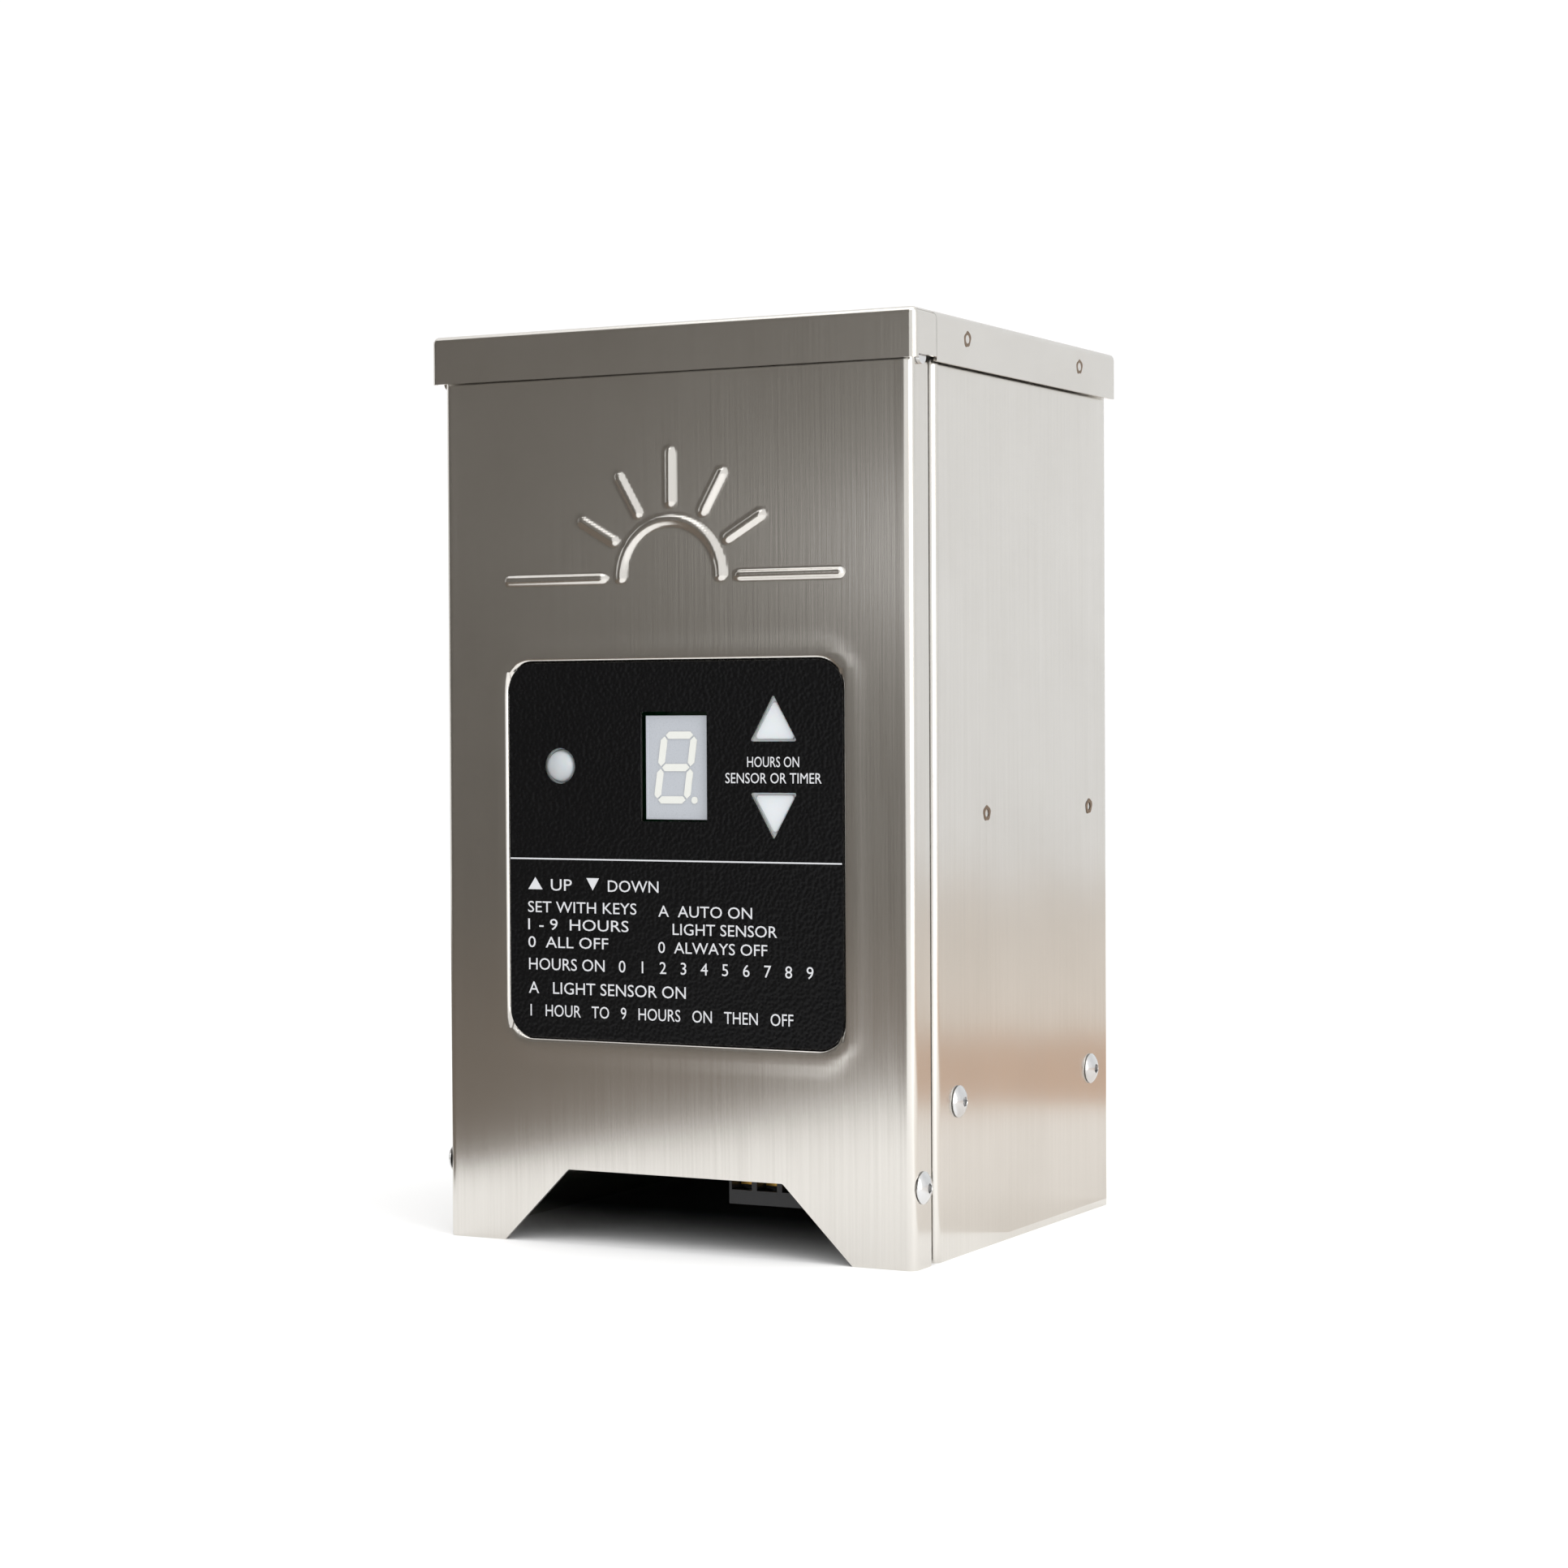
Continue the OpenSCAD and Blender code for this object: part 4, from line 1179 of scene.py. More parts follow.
        n = half_w - gap
        for z in (-half_h, 0, half_h):
            lay([(-n, z), (-n + tip, z - tip), (n - tip, z - tip), (n, z), (n - tip, z + tip),
                 (-n + tip, z + tip)])
        n = half_h / 2 - gap
        for x in (-half_w, half_w):
            for z in (-half_h / 2, half_h / 2):
                lay([(x, z - n), (x + tip, z - n + tip), (x + tip, z + n - tip), (x, z + n),
                     (x - tip, z + n - tip), (x - tip, z - n + tip)])
        point = (7.3, -9.15)  # the decimal point's place from the digit's middle
        bars.prism(disc(mid_x + point[0] + point[1] * slope, mid_z + point[1], 1.0, 24), at_depth_y,
                   face, low.y + 0.2)
        lit = bars.object("display_bars")
        bevel(lit, 0.06, 2)
        publish(lit, SEGMENT, "cover", ["display_segments"])

    def _button(self, name: str, node: str, base_z: float, turn: int) -> None:
        """Builds one button: a soft triangular cap, its flange behind the panel and its stem.

        Args:
            name: Object name.
            node: The CAD node that it replaces, which is also its body's name.
            base_z: Height of its opening's base.
            turn: 1 to point up, -1 to point down.
        """
        low, high = corners(node)
        flange = PANEL_BACK + 0.1
        gap = self.button_gap
        face = self.triangle(base_z + turn * 0.5, turn, self.half - gap, self.high - 2 * gap, 1.0, 10)
        cap = Solid().prism(face, at_depth_y, low.y, flange + 0.2).object(name)
        bevel(cap, 0.45, 4, 60)
        wide = self.triangle(base_z - turn, turn, self.half + 1.5, self.high + 2.4, 1.0)
        carve(cap, Solid().prism(wide, at_depth_y, flange, flange + 1.6).object("add_skirt"), "UNION")
        behind_low, behind_high = corners(node.replace("button", "plunger"))
        centre = (behind_low.z + behind_high.z) / 2
        stem = Solid().lathe([(2.4, flange + 1.5), (2.4, high.y)],
                             lambda a, b, d: (self.arrow_x + a, d, centre + b), 32)
        carve(cap, stem.object("add_stem"), "UNION")
        publish(cap, OPAL, node, [node])


# ---------------------------------------------------------------- case and lid


@dataclass(frozen=True)
class CaseShell:
    """The case: a back and two sides folded from one sheet, its front edges stepped inwards.

    Attributes:
        welds: Depth and height of the spot welds on a side.
        lid_welds: Depth and height of the spot welds on the lid's skirt.
        screws: Depth and height of the screws in a side.
        joggle: Distance of the step inwards behind the front face.
        screw_hole_r: Radius of the screws' holes.
        key_x: Distance of the holes in the back from the middle.
        wall_z: Height of the wall holes.
        key_z: Height of a keyhole's wide and narrow middle.
        key_r: Radius of a keyhole's wide and narrow end; a wall hole has the narrow one.
        ring: Inner and outer radius of an oxide ring.
    """

    welds: tuple[Point2, ...] = ((-19.6, 123.0), (56.4, 123.0))
    lid_welds: tuple[Point2, ...] = ((-37.3, 255.0), (43.8, 254.7))
    screws: tuple[Point2, ...] = ((FRONT_Y + 28.8, 43.3), (FRONT_Y + 125.2, 43.3))
    joggle: float = 14.6
    screw_hole_r: float = 2.25
    key_x: float = 40.0
    wall_z: float = 15.0
    key_z: Point2 = (222.0, 231.0)
    key_r: Point2 = (5.0, 2.75)
    ring: Point2 = (1.1, 2.35)

    def relief(self, x: np.ndarray, y: np.ndarray, z: np.ndarray) -> np.ndarray:
        """Gives the sheet's outward shift: dimples at the welds and a slight unevenness.

        Args:
            x: The points' places across the case.
            y: Their depths.
            z: Their heights.

        Returns:
            The shifts.
        """
        front, rear = FRONT_Y + 18, BACK_Y - 4
        on_side = (np.abs(x) > HALF_W - 1) & (y > front) & (y < rear)
        waves = 0.05 * np.sin((y + 0.35 * z) / 9.5) * np.exp(-((z - 100) / 55) ** 2)
        shift = np.zeros_like(x)
        for wy, wz in self.welds:
            shift -= 0.16 * np.exp(-(np.hypot(y - wy, z - wz) / 1.5) ** 2)
        swell = 0.06 * np.sin(y / 29.0 + 1.1) * np.sin(z / 47.0)
        fade = smoothstep((y - front) / 8) * smoothstep((rear - y) / 8)
        return np.where(on_side, fade * (shift - 0.12 + swell * 0.8 + waves), 0.0)

    def build(self) -> None:
        """Builds the shell and puts it on its body."""
        mid = S.sheet / 2
        side, lip, step_y = HALF_W - mid, HALF_W - S.bend - 1.0, FRONT_Y + self.joggle + mid
        rear = BACK_Y - mid
        marks = [y + d for y, _ in self.welds for d in (-3.5, 3.5)]
        fold = S.bend - mid
        left = [(-lip, FRONT_Y + 2), (-lip, step_y), (-side, step_y), *((-side, y) for y in marks),
                (-side, rear)]
        steps = [1.5, 1.0, 4.0, 0.5, 4.0, 0.5, 4.0]
        sheet = FoldedSheet(
            corners=left + [(-x, y) for x, y in reversed(left)],
            radii=[1.0, fold, 0, 0, 0, 0, fold, fold, 0, 0, 0, 0, fold, 1.0], thickness=S.sheet, outward=-1,
            steps=steps + [5.0] + steps[::-1],
            heights=rows_between(0.0, CASE_HIGH.z, 3.0, fine=[(119.5, 126.5, 0.5)]),
            relief=self.relief,
        )
        shell = sheet.solid().object("case_sheet")
        self._cut(shell)
        publish(shell, STAINLESS, "case", ["case_shell"], sharp=50)
        self._tint()

    def _cut(self, shell: bpy.types.Object) -> None:
        """Cuts the screws' holes, the wall holes and the keyholes.

        Args:
            shell: The folded case.
        """
        through = (BACK_Y - 2, BACK_Y + 1)
        (wide_z, narrow_z), (wide_r, narrow_r) = self.key_z, self.key_r
        holes = (*self.screws, (FRONT_Y + S.cover_screw[0], S.cover_screw[1]))
        for k, s in enumerate((-1, 1)):
            for n, (y, z) in enumerate(holes):
                hole = Solid().prism(disc(y, z, self.screw_hole_r, 24), at_depth_x, s * (HALF_W - 5),
                                     s * (HALF_W + 1))
                carve(shell, hole.object(f"cut_{k}_{n}"))
            wall = Solid().prism(disc(self.key_x * s, self.wall_z, narrow_r, 28), at_depth_y, *through)
            carve(shell, wall.object(f"cut_wall_{k}"))
            key = [(self.key_x * s + wide_r * math.sin(a), wide_z - wide_r * math.cos(a))
                   for a in np.linspace(-2.56, 2.56, 30)]
            key += [(self.key_x * s + narrow_r * math.sin(a), narrow_z + narrow_r * math.cos(a))
                    for a in np.linspace(1.571, -1.571, 14)]
            carve(shell, Solid().prism(key, at_depth_y, *through).object(f"cut_key_{k}"))

    def _tint(self) -> None:
        """Adds the brown oxide rings that spot welding leaves on the sides and on the lid's skirt."""
        spots = [(s * (HALF_W - 0.06), y, z) for s in (-1, 1) for y, z in self.welds]
        spots += [(s * (LID_HIGH.x - S.weld_rise), y, z) for s in (-1, 1) for y, z in self.lid_welds]
        rings = Solid()
        chance = random.Random(11)
        (inner, outer), steps = self.ring, 36
        for x, y, z in spots:
            out = 1 if x > 0 else -1
            turn = chance.uniform(0, 1.5)
            points: list[Point3] = []
            for k in range(steps):
                a = turn + 2 * math.pi * k / steps
                wide = outer * (1 + 0.10 * math.sin(2 * a + turn) + 0.06 * math.sin(5 * a))
                for radius, lift in ((inner, 0.0), (inner + 0.25, 0.012), (wide - 0.25, 0.012), (wide, 0.0)):
                    points.append((x + out * (lift - 0.004), y + radius * math.cos(a),
                                   z + radius * math.sin(a)))
            faces = []
            for k in range(steps):
                a, b = 4 * k, 4 * ((k + 1) % steps)
                faces += [(a + n, a + (n + 1) % 4, b + (n + 1) % 4, b + n) for n in range(4)]
            rings.add(points, faces)
        publish(rings.object("weld_rings"), WELD_TINT, "case", ())


@dataclass(frozen=True)
class Lid:
    """The folded lid: a shallow pan with rounded folds, its front corners closed by tabs.

    Attributes:
        fold: Outer radius of the folds.
        tab_y: Rear edge of the tabs that wrap round onto the sides.
        tab_top: Distance of the tabs' upper edge below the top.
        tab_r: Radius of the tabs' corner.
        seam: Width of the thin gap round a tab.
        flange: Distances of the rear flange's foot and top below the top.
    """

    fold: float = 2.0
    tab_y: float = -57.6
    tab_top: float = 0.85
    tab_r: float = 1.5
    seam: float = 0.16
    flange: Point2 = (11.0, 0.6)

    def build(self) -> None:
        """Builds the lid and puts it on its body."""
        low, high = LID_LOW, LID_HIGH
        outer = self._pan("lid_sheet", low.x + S.weld_rise, low.y, high.y, low.z, high.z, self.fold)
        inner = self._pan("lid_hollow", low.x + 1, low.y + 1, high.y + 1, low.z - 1, high.z - 1,
                          self.fold - 1)
        carve(outer, inner)
        rear = high.y - 1.1
        left, right = low.x + 2, high.x - 2
        cut = [(left, low.z - 1), (right, low.z - 1), (right, high.z + 1), (left, high.z + 1)]
        carve(outer, Solid().prism(cut, at_depth_y, rear, high.y + 1).object("cut_rear"))
        left, right, foot, top = low.x + 7.5, high.x - 7.5, high.z - self.flange[0], high.z - self.flange[1]
        flange = Solid().prism([(left, foot), (right, foot), (right, top), (left, top)], at_depth_y,
                               rear - 1, rear - 0.01)
        carve(outer, flange.object("add_flange"), "UNION")
        foot_cut = [(low.y + 2.2, low.z - 1), (self.tab_y, low.z - 1), (self.tab_y, low.z + 1.1),
                    (low.y + 2.2, low.z + 1.1)]
        for k, s in enumerate((-1, 1)):
            near, inside, far = s * (high.x - 0.72), s * (high.x - 2), s * (high.x + 1)
            carve(outer, Solid().prism(self._seam(), at_depth_x, near, far).object(f"cut_seam_{k}"))
            carve(outer, Solid().prism(foot_cut, at_depth_x, inside, far).object(f"cut_foot_{k}"))
        publish(outer, STAINLESS_LID, "case", ["lid"], sharp=50)
        self._weld_beads()

    @staticmethod
    def _weld_beads() -> None:
        """Adds small beads of weld metal at the corners of the tabs."""
        low, high = LID_LOW, LID_HIGH
        spots = ((-57.5, high.z - 1.6, 0.55), (-59.0, high.z - 1.0, 0.4), (-57.6, low.z + 1.3, 0.35))
        beads = Solid()
        chance = random.Random(4)
        for s in (-1, 1):
            for y, z, size in spots:
                wide = size * chance.uniform(0.9, 1.2)
                depth = s * (high.x - (0.75 if z > high.z - 2 else 0.2))
                profile = [(wide * math.sin(a), -0.45 * wide * math.cos(a))
                           for a in np.linspace(0.1, math.pi - 0.1, 9)]
                beads.lathe(profile, lambda a, b, d, y=y, z=z, x=depth, s=s: (x + s * d, y + a, z + b), 14)
        publish(beads.object("lid_weld_beads"), WELD_TINT, "case", ())

    @staticmethod
    def _pan(name: str, x: float, y0: float, y1: float, z0: float, z1: float,
             radius: float) -> bpy.types.Object:
        """Builds a closed box with its upper and front edges rounded.

        Args:
            name: Object name.
            x: Left side; the right side mirrors it.
            y0: Front.
            y1: Rear.
            z0: Foot.
            z1: Top.
            radius: Radius of the rounded edges.

        Returns:
            The box.
        """
        work = bmesh.new()
        bmesh.ops.create_cube(work, size=2.0)
        for v in work.verts:
            v.co = Vector((v.co.x * abs(x), y0 if v.co.y < 0 else y1, z0 if v.co.z < 0 else z1)) * MM
        chosen = []
        for e in work.edges:
            a, b = e.verts[0].co / MM, e.verts[1].co / MM
            middle = (a + b) / 2
            top = abs(middle.z - z1) < 1e-3 and middle.y < y1 - 1e-3
            front = abs(middle.y - y0) < 1e-3 and abs(a.z - b.z) > 1
            if top or front:
                chosen.append(e)
        bmesh.ops.bevel(work, geom=chosen, offset=radius * MM, segments=7, profile=0.5, affect="EDGES")
        mesh = bpy.data.meshes.new(name)
        work.to_mesh(mesh)
        work.free()
        made = bpy.data.objects.new(name, mesh)
        bpy.context.scene.collection.objects.link(made)
        return made

    def _seam(self) -> list[Point2]:
        """Draws the thin gap round the corner tab.

        Returns:
            Its outline in y and z.
        """
        top, back, radius = LID_HIGH.z - self.tab_top, self.tab_y, self.tab_r
        outer = [(LID_LOW.y + 1.6, top)]
        outer += [(back - radius + radius * math.sin(a), top - radius + radius * math.cos(a))
                  for a in np.linspace(0, math.pi / 2, 8)]
        outer += [(back, LID_LOW.z - 1)]
        inner = [(y - self.seam, z) if z < top - 1.4 else (y, z - self.seam) for y, z in outer]
        return outer + inner[::-1]


@dataclass(frozen=True)
class Screws:
    """Six button-head screws with hexagon sockets.

    Attributes:
        head_r: Radius of a head.
        head_high: Height of a head.
        rim: Height of the head's straight rim.
        shank_r: Outer radius of the thread.
        length: Length under the head.
        pitch: Pitch of the thread.
        turns: Turns of the thread.
        thread: Depth of the thread.
        key: Width of the socket across its flats.
        key_deep: Depth of the socket.
    """

    head_r: float = 4.5
    head_high: float = 2.2
    rim: float = 0.35
    shank_r: float = 2.1
    length: float = 9.0
    pitch: float = 0.7
    turns: int = 12
    thread: float = 0.28
    key: float = 2.5
    key_deep: float = 1.5

    def build(self) -> None:
        """Builds the screws and puts them on their body."""
        screws: list[bpy.types.Object] = []
        chance = random.Random(7)
        places = [(y, z, HALF_W) for y, z in CaseShell.screws]
        places.append((FRONT_Y + S.cover_screw[0], S.cover_screw[1], HALF_W + 0.1))
        for s in (-1, 1):
            for k, (y, z, under) in enumerate(places):
                screws.append(self._one(f"screw_{k}_{s + 1}", s, y, z, under, chance.uniform(0, math.pi / 3)))
        join(screws)
        screws[0].name = "button_head_screws"
        publish(screws[0], BRIGHT, "case", ["housing_screws"])

    def _profile(self) -> list[Point2]:
        """Draws the screw's outline from its tip to the top of its head.

        Returns:
            The radius and depth of each ring.
        """
        head, rim, shank = self.head_r, self.rim, self.shank_r
        profile = [(shank - 0.3, -self.length), (shank, 0.3 - self.length)]
        for k in range(self.turns):
            crest = 0.6 - self.length + self.pitch * k
            profile += [(shank, crest), (shank - self.thread, crest + self.pitch / 2)]
        profile += [(shank, 0.0), (head - 0.12, 0.0), (head, 0.12), (head, rim)]
        crown = self.head_high - rim
        round_r = (head * head + crown ** 2) / (2 * crown)
        reach = math.asin(head / round_r)
        for k in range(1, 12):
            a = reach * (1 - k / 12)
            profile.append((round_r * math.sin(a), rim + round_r * math.cos(a) - round_r + crown))
        return profile

    def _one(self, name: str, s: int, y: float, z: float, under: float, turn: float) -> bpy.types.Object:
        """Builds one screw.

        Args:
            name: Object name.
            s: Side of the case, -1 or 1.
            y: Axis in y.
            z: Axis in z.
            under: Distance of the head's underside from the middle of the case.
            turn: How far its socket is turned.

        Returns:
            The screw.
        """
        high = self.head_high

        def place(a: float, b: float, d: float) -> Point3:
            """Places a point of the turned shape."""
            return s * (under + d), y + a, z + b

        screw = Solid().lathe(self._profile(), place, 40).object(name)
        across = self.key / math.cos(math.pi / 6) / 2
        hexagon = [(y + across * math.cos(turn + k * math.pi / 3),
                    z + across * math.sin(turn + k * math.pi / 3)) for k in range(6)]
        near, far = s * (under + high - self.key_deep), s * (under + high + 1)
        socket = Solid().prism(hexagon, at_depth_x, near, far)
        carve(screw, socket.object("cut_socket"))
        rim = Solid().lathe([(1.3, 0.0), (1.75, 0.36), (1.75, 1.0), (1.3, 1.0)],
                            lambda a, b, d: place(a, b, high - 0.3 + d), 32)
        carve(screw, rim.object("cut_rim"))
        return screw


@dataclass(frozen=True)
class Winding:
    """The toroidal winding: a rounded ring wrapped in overlapping tape.

    Attributes:
        inner: Radius of the hole in its middle.
        corner: Radius of its section's corners.
        step: Longest face along the section.
        wraps: Turns of tape round the ring.
        per_wrap: Faces along the ring in one turn of tape.
        slant: How far the tape leans, as a share of its width.
        dip: How far one turn of tape sinks towards the next.
        lap: Height of the step where one turn laps the next.
    """

    inner: float = 18.0
    corner: float = 10.0
    step: float = 3.0
    wraps: int = 46
    per_wrap: int = 8
    slant: float = 0.35
    dip: float = 0.30
    lap: float = 0.25

    def build(self) -> None:
        """Builds the wrapped ring and puts it on its body."""
        low, high = corners("toroid_winding")
        centre = (low + high) / 2
        outer, half = (high.x - low.x) / 2, (high.z - low.z) / 2
        middle, wide = (outer + self.inner) / 2, (outer - self.inner) / 2
        section = plate(-wide, -half, wide, half, self.corner, 9)
        fine: list[Point2] = []
        for k, (a, b) in enumerate(section):
            c, d = section[(k + 1) % len(section)]
            pieces = max(1, round(math.hypot(c - a, d - b) / self.step))
            fine += [(a + (c - a) * n / pieces, b + (d - b) * n / pieces) for n in range(pieces)]
        around, count = self.wraps * self.per_wrap, len(fine)
        points: list[Point3] = []
        for k in range(around):
            turn = 2 * math.pi * k / around
            for n, (a, b) in enumerate(fine):
                lean = self.slant * math.sin(2 * math.pi * n / count)
                share = ((k + lean * self.per_wrap) / around * self.wraps) % 1.0
                dip = self.dip * share + (self.lap if share < 0.13 else 0.0)
                reach = middle + a * (1 - dip / wide)
                points.append((centre.x + reach * math.cos(turn), centre.y + reach * math.sin(turn),
                               centre.z + b * (1 - dip / half)))
        faces = []
        for k in range(around):
            for n in range(count):
                m, j = (n + 1) % count, (k + 1) % around
                faces.append((k * count + n, j * count + n, j * count + m, k * count + m))
        ring = Solid().add(points, faces).object("winding_tape")
        publish(ring, TAPE, "case", ["toroid_winding"])


# ---------------------------------------------------------------- CAD pieces that stay


def dress_cad_pieces() -> None:
    """Gives every CAD node that stays its finish."""
    for name, finish in CAD_FINISHES.items():
        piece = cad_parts[name]
        piece.data.materials.clear()
        piece.data.materials.append(finish.material())


# ---------------------------------------------------------------- studio


@dataclass(frozen=True)
class SoftBox:
    """A rectangular light that looks at the object.

    Attributes:
        name: Name of the light.
        azimuth: Direction from the object in degrees: 0 is in front, 90 at the right.
        reach: Distance from the object in metres.
        height: Height in metres.
        size: Width and height in metres.
        power: Power in watts.
    """

    name: str
    azimuth: float
    reach: float
    height: float
    size: Point2
    power: float


@dataclass(frozen=True)
class Card:
    """A coloured card that only shows in reflections.

    Attributes:
        name: Name of the card.
        azimuth: Direction that its second coordinate runs in, in degrees.
        colour: sRGB hex of its paint.
        points: Outline as sideways distance, distance from the object and height, in metres.
    """

    name: str
    azimuth: float
    colour: str
    points: list[Point3]


def floor_card(name: str, azimuth: float, colour: str, near: float, far: float) -> Card:
    """Lays a rectangular card on the floor.

    Args:
        name: Name of the card.
        azimuth: Direction from the object in degrees.
        colour: sRGB hex of its paint.
        near: Distance of its near edge in metres.
        far: Distance of its far edge in metres.

    Returns:
        The card.
    """
    half, lift = 1.4, 0.002
    return Card(name, azimuth, colour,
                [(-half, near, lift), (half, near, lift), (half, far, lift), (-half, far, lift)])


SOFT_BOXES = [
    SoftBox("box_right", 66, 1.15, 0.4, (0.7, 1.4), 9.0),
    SoftBox("box_top", 20, 0.35, 1.5, (1.6, 1.6), 7.0),
]

# What the steel reflects: a dark room and table at the left front, a tan table edge at the right rear.
CARDS = [
    Card("card_room", -32, "605c57", [
        (-1.4, 1.3, 0.0), (0.46, 1.3, 0.0), (0.46, 1.3, 0.17), (0.27, 1.3, 0.22), (0.20, 1.3, 0.27),
        (0.27, 1.3, 0.30), (0.42, 1.3, 0.34), (0.5, 1.3, 0.40), (0.5, 1.3, 1.8), (-1.4, 1.3, 1.8)]),
    Card("card_table", -32, "665c52", [
        (-1.4, 0.08, 0.002), (-0.1, 0.165, 0.002), (-0.03, 0.23, 0.002), (0.076, 0.34, 0.002),
        (0.175, 0.46, 0.002), (0.35, 0.65, 0.002), (0.44, 1.3, 0.002), (-1.4, 1.3, 0.002)]),
    floor_card("card_near", 152, "e4e0dc", 0.03, 0.34),
    floor_card("card_edge", 152, "bfa28c", 0.34, 0.62),
    floor_card("card_far", 152, "dad2ca", 0.62, 2.0),
    Card("card_wall", 152, "e9eaeb", [(-1.6, 2.0, 0.0), (1.6, 2.0, 0.0), (1.6, 2.0, 1.8), (-1.6, 2.0, 1.8)]),
]


@dataclass(frozen=True)
class Studio:
    """A white floor with soft boxes, cards that the steel reflects, and the camera.

    Attributes:
        centre: Middle of the object in metres.
        world: Strength of the even white light.
        floor_half: Half width of the floor in metres.
        floor_tone: Brightness of the floor's paint.
        shade_deep: Depth over which the painted shade on the mat under the case darkens, in millimetres.
        lens: Focal length of the camera in millimetres, on a 36 mm wide frame.
        azimuth: Direction of the camera in degrees.
        elevation: Rise of the camera in degrees.
        reach: Distance of the camera in metres.
        roll: Tilt of the camera about its own axis in degrees.
    """

    centre: Vector = field(default_factory=lambda: (CAD_BOX[0] + CAD_BOX[1]) / 2)
    world: float = 1.07
    floor_half: float = 4.0
    floor_tone: float = 0.95
    shade_deep: float = 75.0
    lens: float = 76.7
    azimuth: float = 27.47
    elevation: float = 1.17
    reach: float = 0.998
    roll: float = -0.30

    def build(self) -> None:
        """Sets up the world, the floor, the lights, the cards and the camera."""
        self._world()
        self._floor()
        self._shade()
        for box in SOFT_BOXES:
            self._box(box)
        for card in CARDS:
            self._card(card)
        self._camera()
        bpy.context.scene.view_settings.view_transform = "Standard"
        bpy.context.scene.view_settings.look = "None"

    def _world(self) -> None:
        """Lights the scene evenly with white."""
        world = bpy.data.worlds.new("studio")
        world.use_nodes = True
        world.node_tree.nodes["Background"].inputs["Color"].default_value = (1.0, 1.0, 1.0, 1.0)
        world.node_tree.nodes["Background"].inputs["Strength"].default_value = self.world
        bpy.context.scene.world = world

    @staticmethod
    def _sheet(name: str, points: Sequence[Point3], roughness: float) -> bpy.types.Object:
        """Makes a flat staged sheet with its own plain paint.

        Args:
            name: Name of the sheet and of its paint.
            points: Outline in metres.
            roughness: Roughness of the paint.

        Returns:
            The sheet.
        """
        mesh = bpy.data.meshes.new(name)
        mesh.from_pydata(points, [], [tuple(range(len(points)))])
        sheet = bpy.data.objects.new(name, mesh)
        bpy.context.scene.collection.objects.link(sheet)
        paint = bpy.data.materials.new(name)
        paint.use_nodes = True
        paint.node_tree.nodes["Principled BSDF"].inputs["Roughness"].default_value = roughness
        mesh.materials.append(paint)
        return sheet

    def _floor(self) -> None:
        """Lays the pale floor."""
        half, tone = self.floor_half, self.floor_tone
        outline = [(-half, -half, 0), (half, -half, 0), (half, half, 0), (-half, half, 0)]
        floor = self._sheet("floor", outline, 0.9)
        floor.location.z = CAD_BOX[0].z
        shader = floor.active_material.node_tree.nodes["Principled BSDF"]
        shader.inputs["Base Color"].default_value = (tone, tone, tone, 1.0)
        shader.inputs["Specular IOR Level"].default_value = 0.1

    def _shade(self) -> None:
        """Lays a mat under the case with painted shade that darkens from front to rear, standing in for the
        shadow inside the case.
        """
        x, front, rear, lift = HALF_W - 0.6, FRONT_Y + 2, BACK_Y - 0.6, 0.05
        outline = [(a * MM, b * MM, lift * MM) for a, b in ((-x, front), (x, front), (x, rear), (-x, rear))]
        mat = self._sheet("painted_shade_mat", outline, 0.9)
        tree = mat.active_material.node_tree
        place = add_node(tree, "ShaderNodeTexCoord").outputs["Object"]
        parts = add_node(tree, "ShaderNodeSeparateXYZ", {}, {0: place})
        # painted shade: the mat's colour falls from pale at the front edge to near black further in, where
        # the case shadows the floor
        depth = add_node(tree, "ShaderNodeMapRange", {"interpolation_type": "SMOOTHSTEP"},
                         {"Value": parts.outputs["Y"], "From Min": front * MM,
                          "From Max": (front + self.shade_deep) * MM, "To Min": 0.93, "To Max": 0.03})
        shader = tree.nodes["Principled BSDF"]
        tree.links.new(depth.outputs["Result"], shader.inputs["Base Color"])
        shader.inputs["Specular IOR Level"].default_value = 0.1

    def _box(self, box: SoftBox) -> None:
        """Hangs a soft box.

        Args:
            box: The soft box.
        """
        light = bpy.data.lights.new(box.name, "AREA")
        light.shape = "RECTANGLE"
        light.size, light.size_y = box.size
        light.energy = box.power
        holder = bpy.data.objects.new(box.name, light)
        turn = math.radians(box.azimuth)
        holder.location = (box.reach * math.sin(turn), -box.reach * math.cos(turn), box.height)
        holder.rotation_euler = (self.centre - holder.location).to_track_quat("-Z", "Y").to_euler()
        bpy.context.scene.collection.objects.link(holder)

    def _card(self, card: Card) -> None:
        """Sets up a card that only reflections see.

        Args:
            card: The card.
        """
        made = self._sheet(card.name, [(a, -b, c) for a, b, c in card.points], 1.0)
        made.rotation_euler.z = math.radians(card.azimuth)
        made.location.z = CAD_BOX[0].z
        made.visible_camera = made.visible_diffuse = made.visible_shadow = False
        shader = made.active_material.node_tree.nodes["Principled BSDF"]
        shader.inputs["Base Color"].default_value = linear(card.colour)

    def _camera(self) -> None:
        """Sets the camera a metre away, to the right of the front and level with the middle."""
        lens = bpy.data.cameras.new("camera")
        lens.lens, lens.sensor_width = self.lens, 36.0
        lens.clip_start, lens.clip_end = 0.02, 30.0
        camera = bpy.data.objects.new("camera", lens)
        turn, rise = math.radians(self.azimuth), math.radians(self.elevation)
        back = Vector((math.sin(turn) * math.cos(rise), -math.cos(turn) * math.cos(rise), math.sin(rise)))
        camera.location = self.centre + back * self.reach
        aim = (-back).to_track_quat("-Z", "Y").to_matrix().to_4x4()
        roll = Matrix.Rotation(math.radians(self.roll), 4, "Z")
        camera.matrix_world = Matrix.Translation(camera.location) @ aim @ roll
        bpy.context.scene.collection.objects.link(camera)
        bpy.context.scene.camera = camera


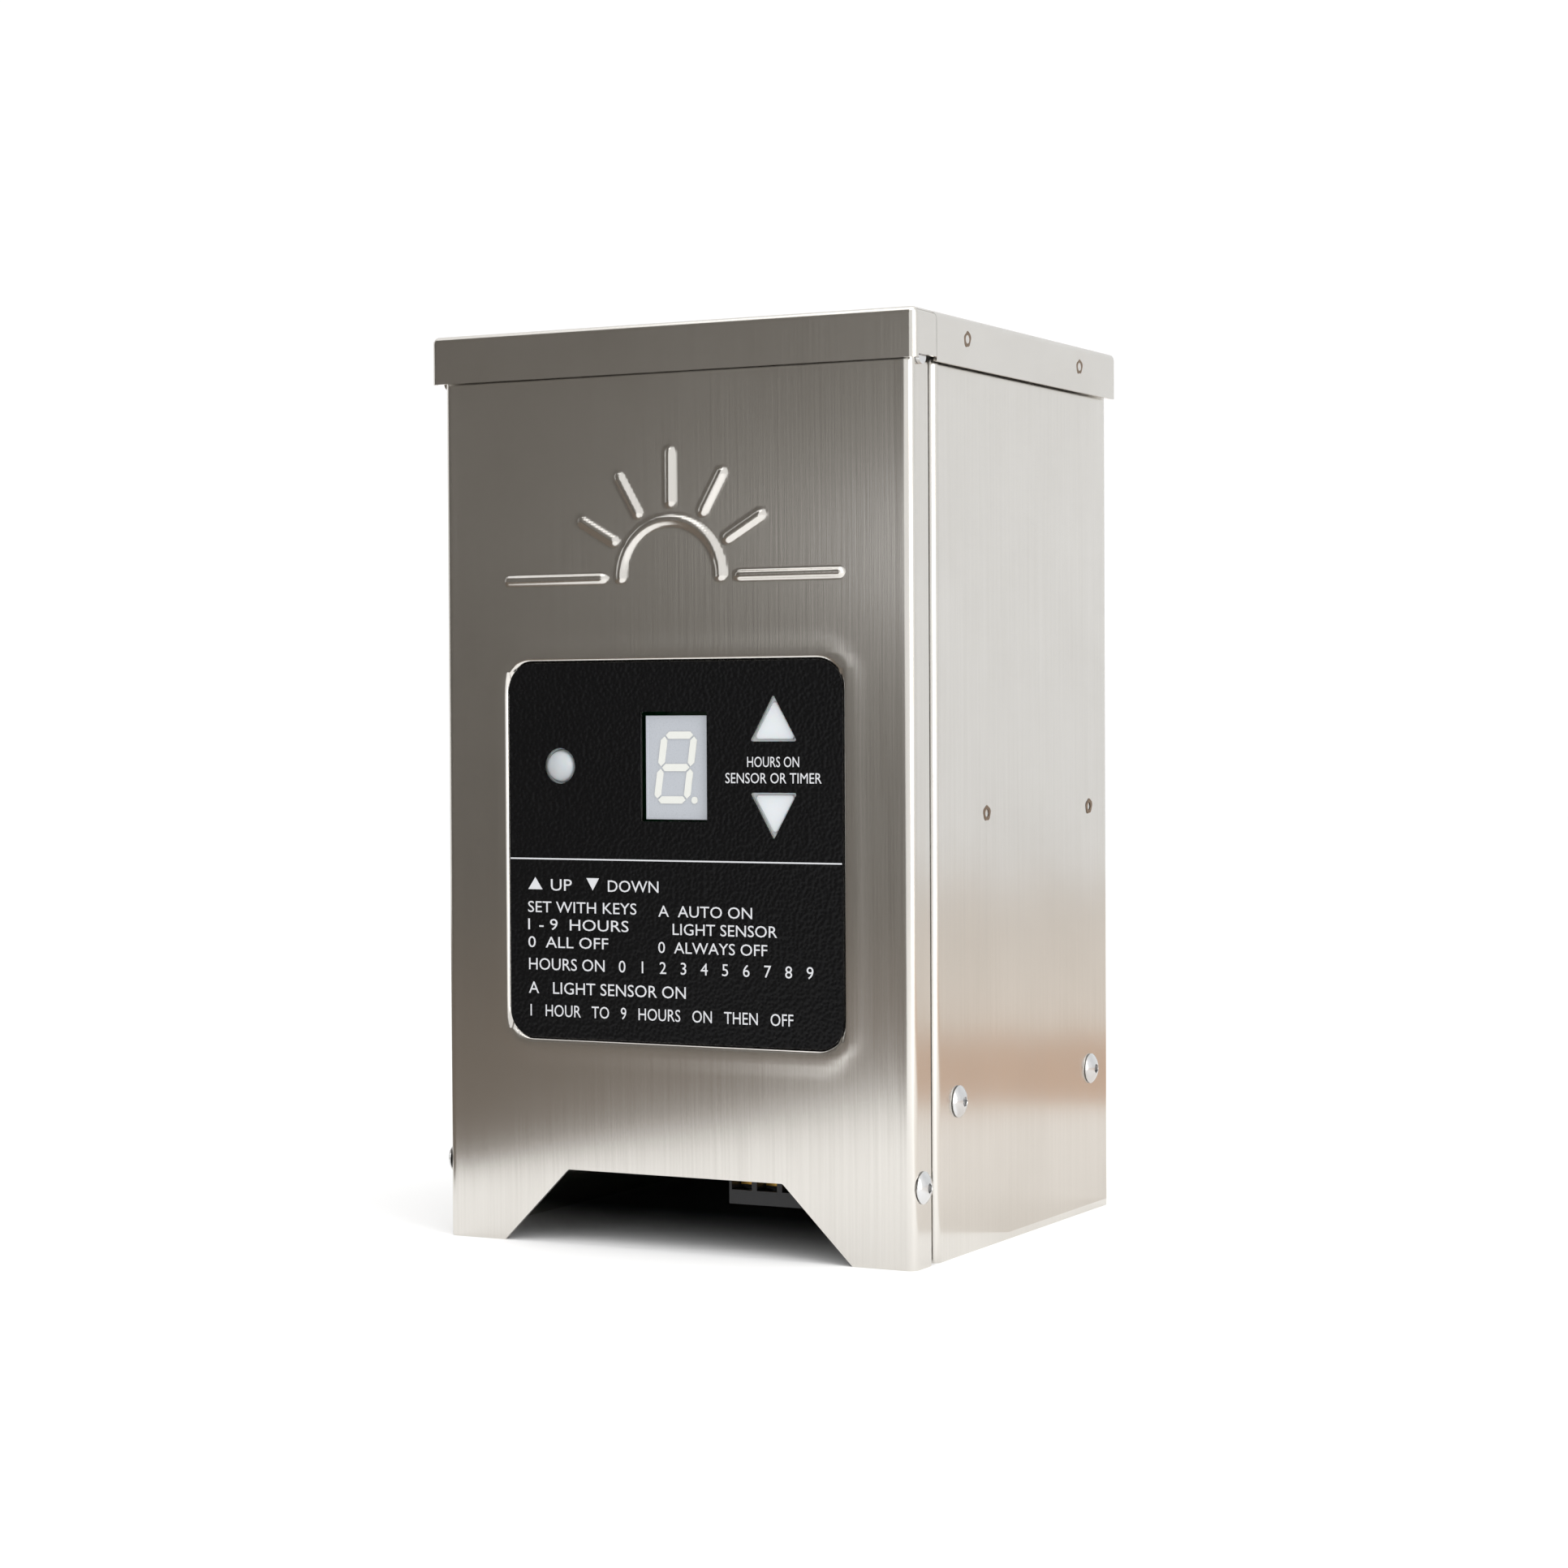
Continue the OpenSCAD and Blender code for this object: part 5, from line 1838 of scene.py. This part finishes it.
def main() -> None:
    """Builds the looks and the studio."""
    logging.basicConfig(level=logging.INFO, format="%(message)s")
    dress_cad_pieces()
    for part in (FrontCover(), Panel(), CaseShell(), Lid(), Screws(), Winding()):
        part.build()
    Studio().build()


if __name__ == "__main__":
    main()
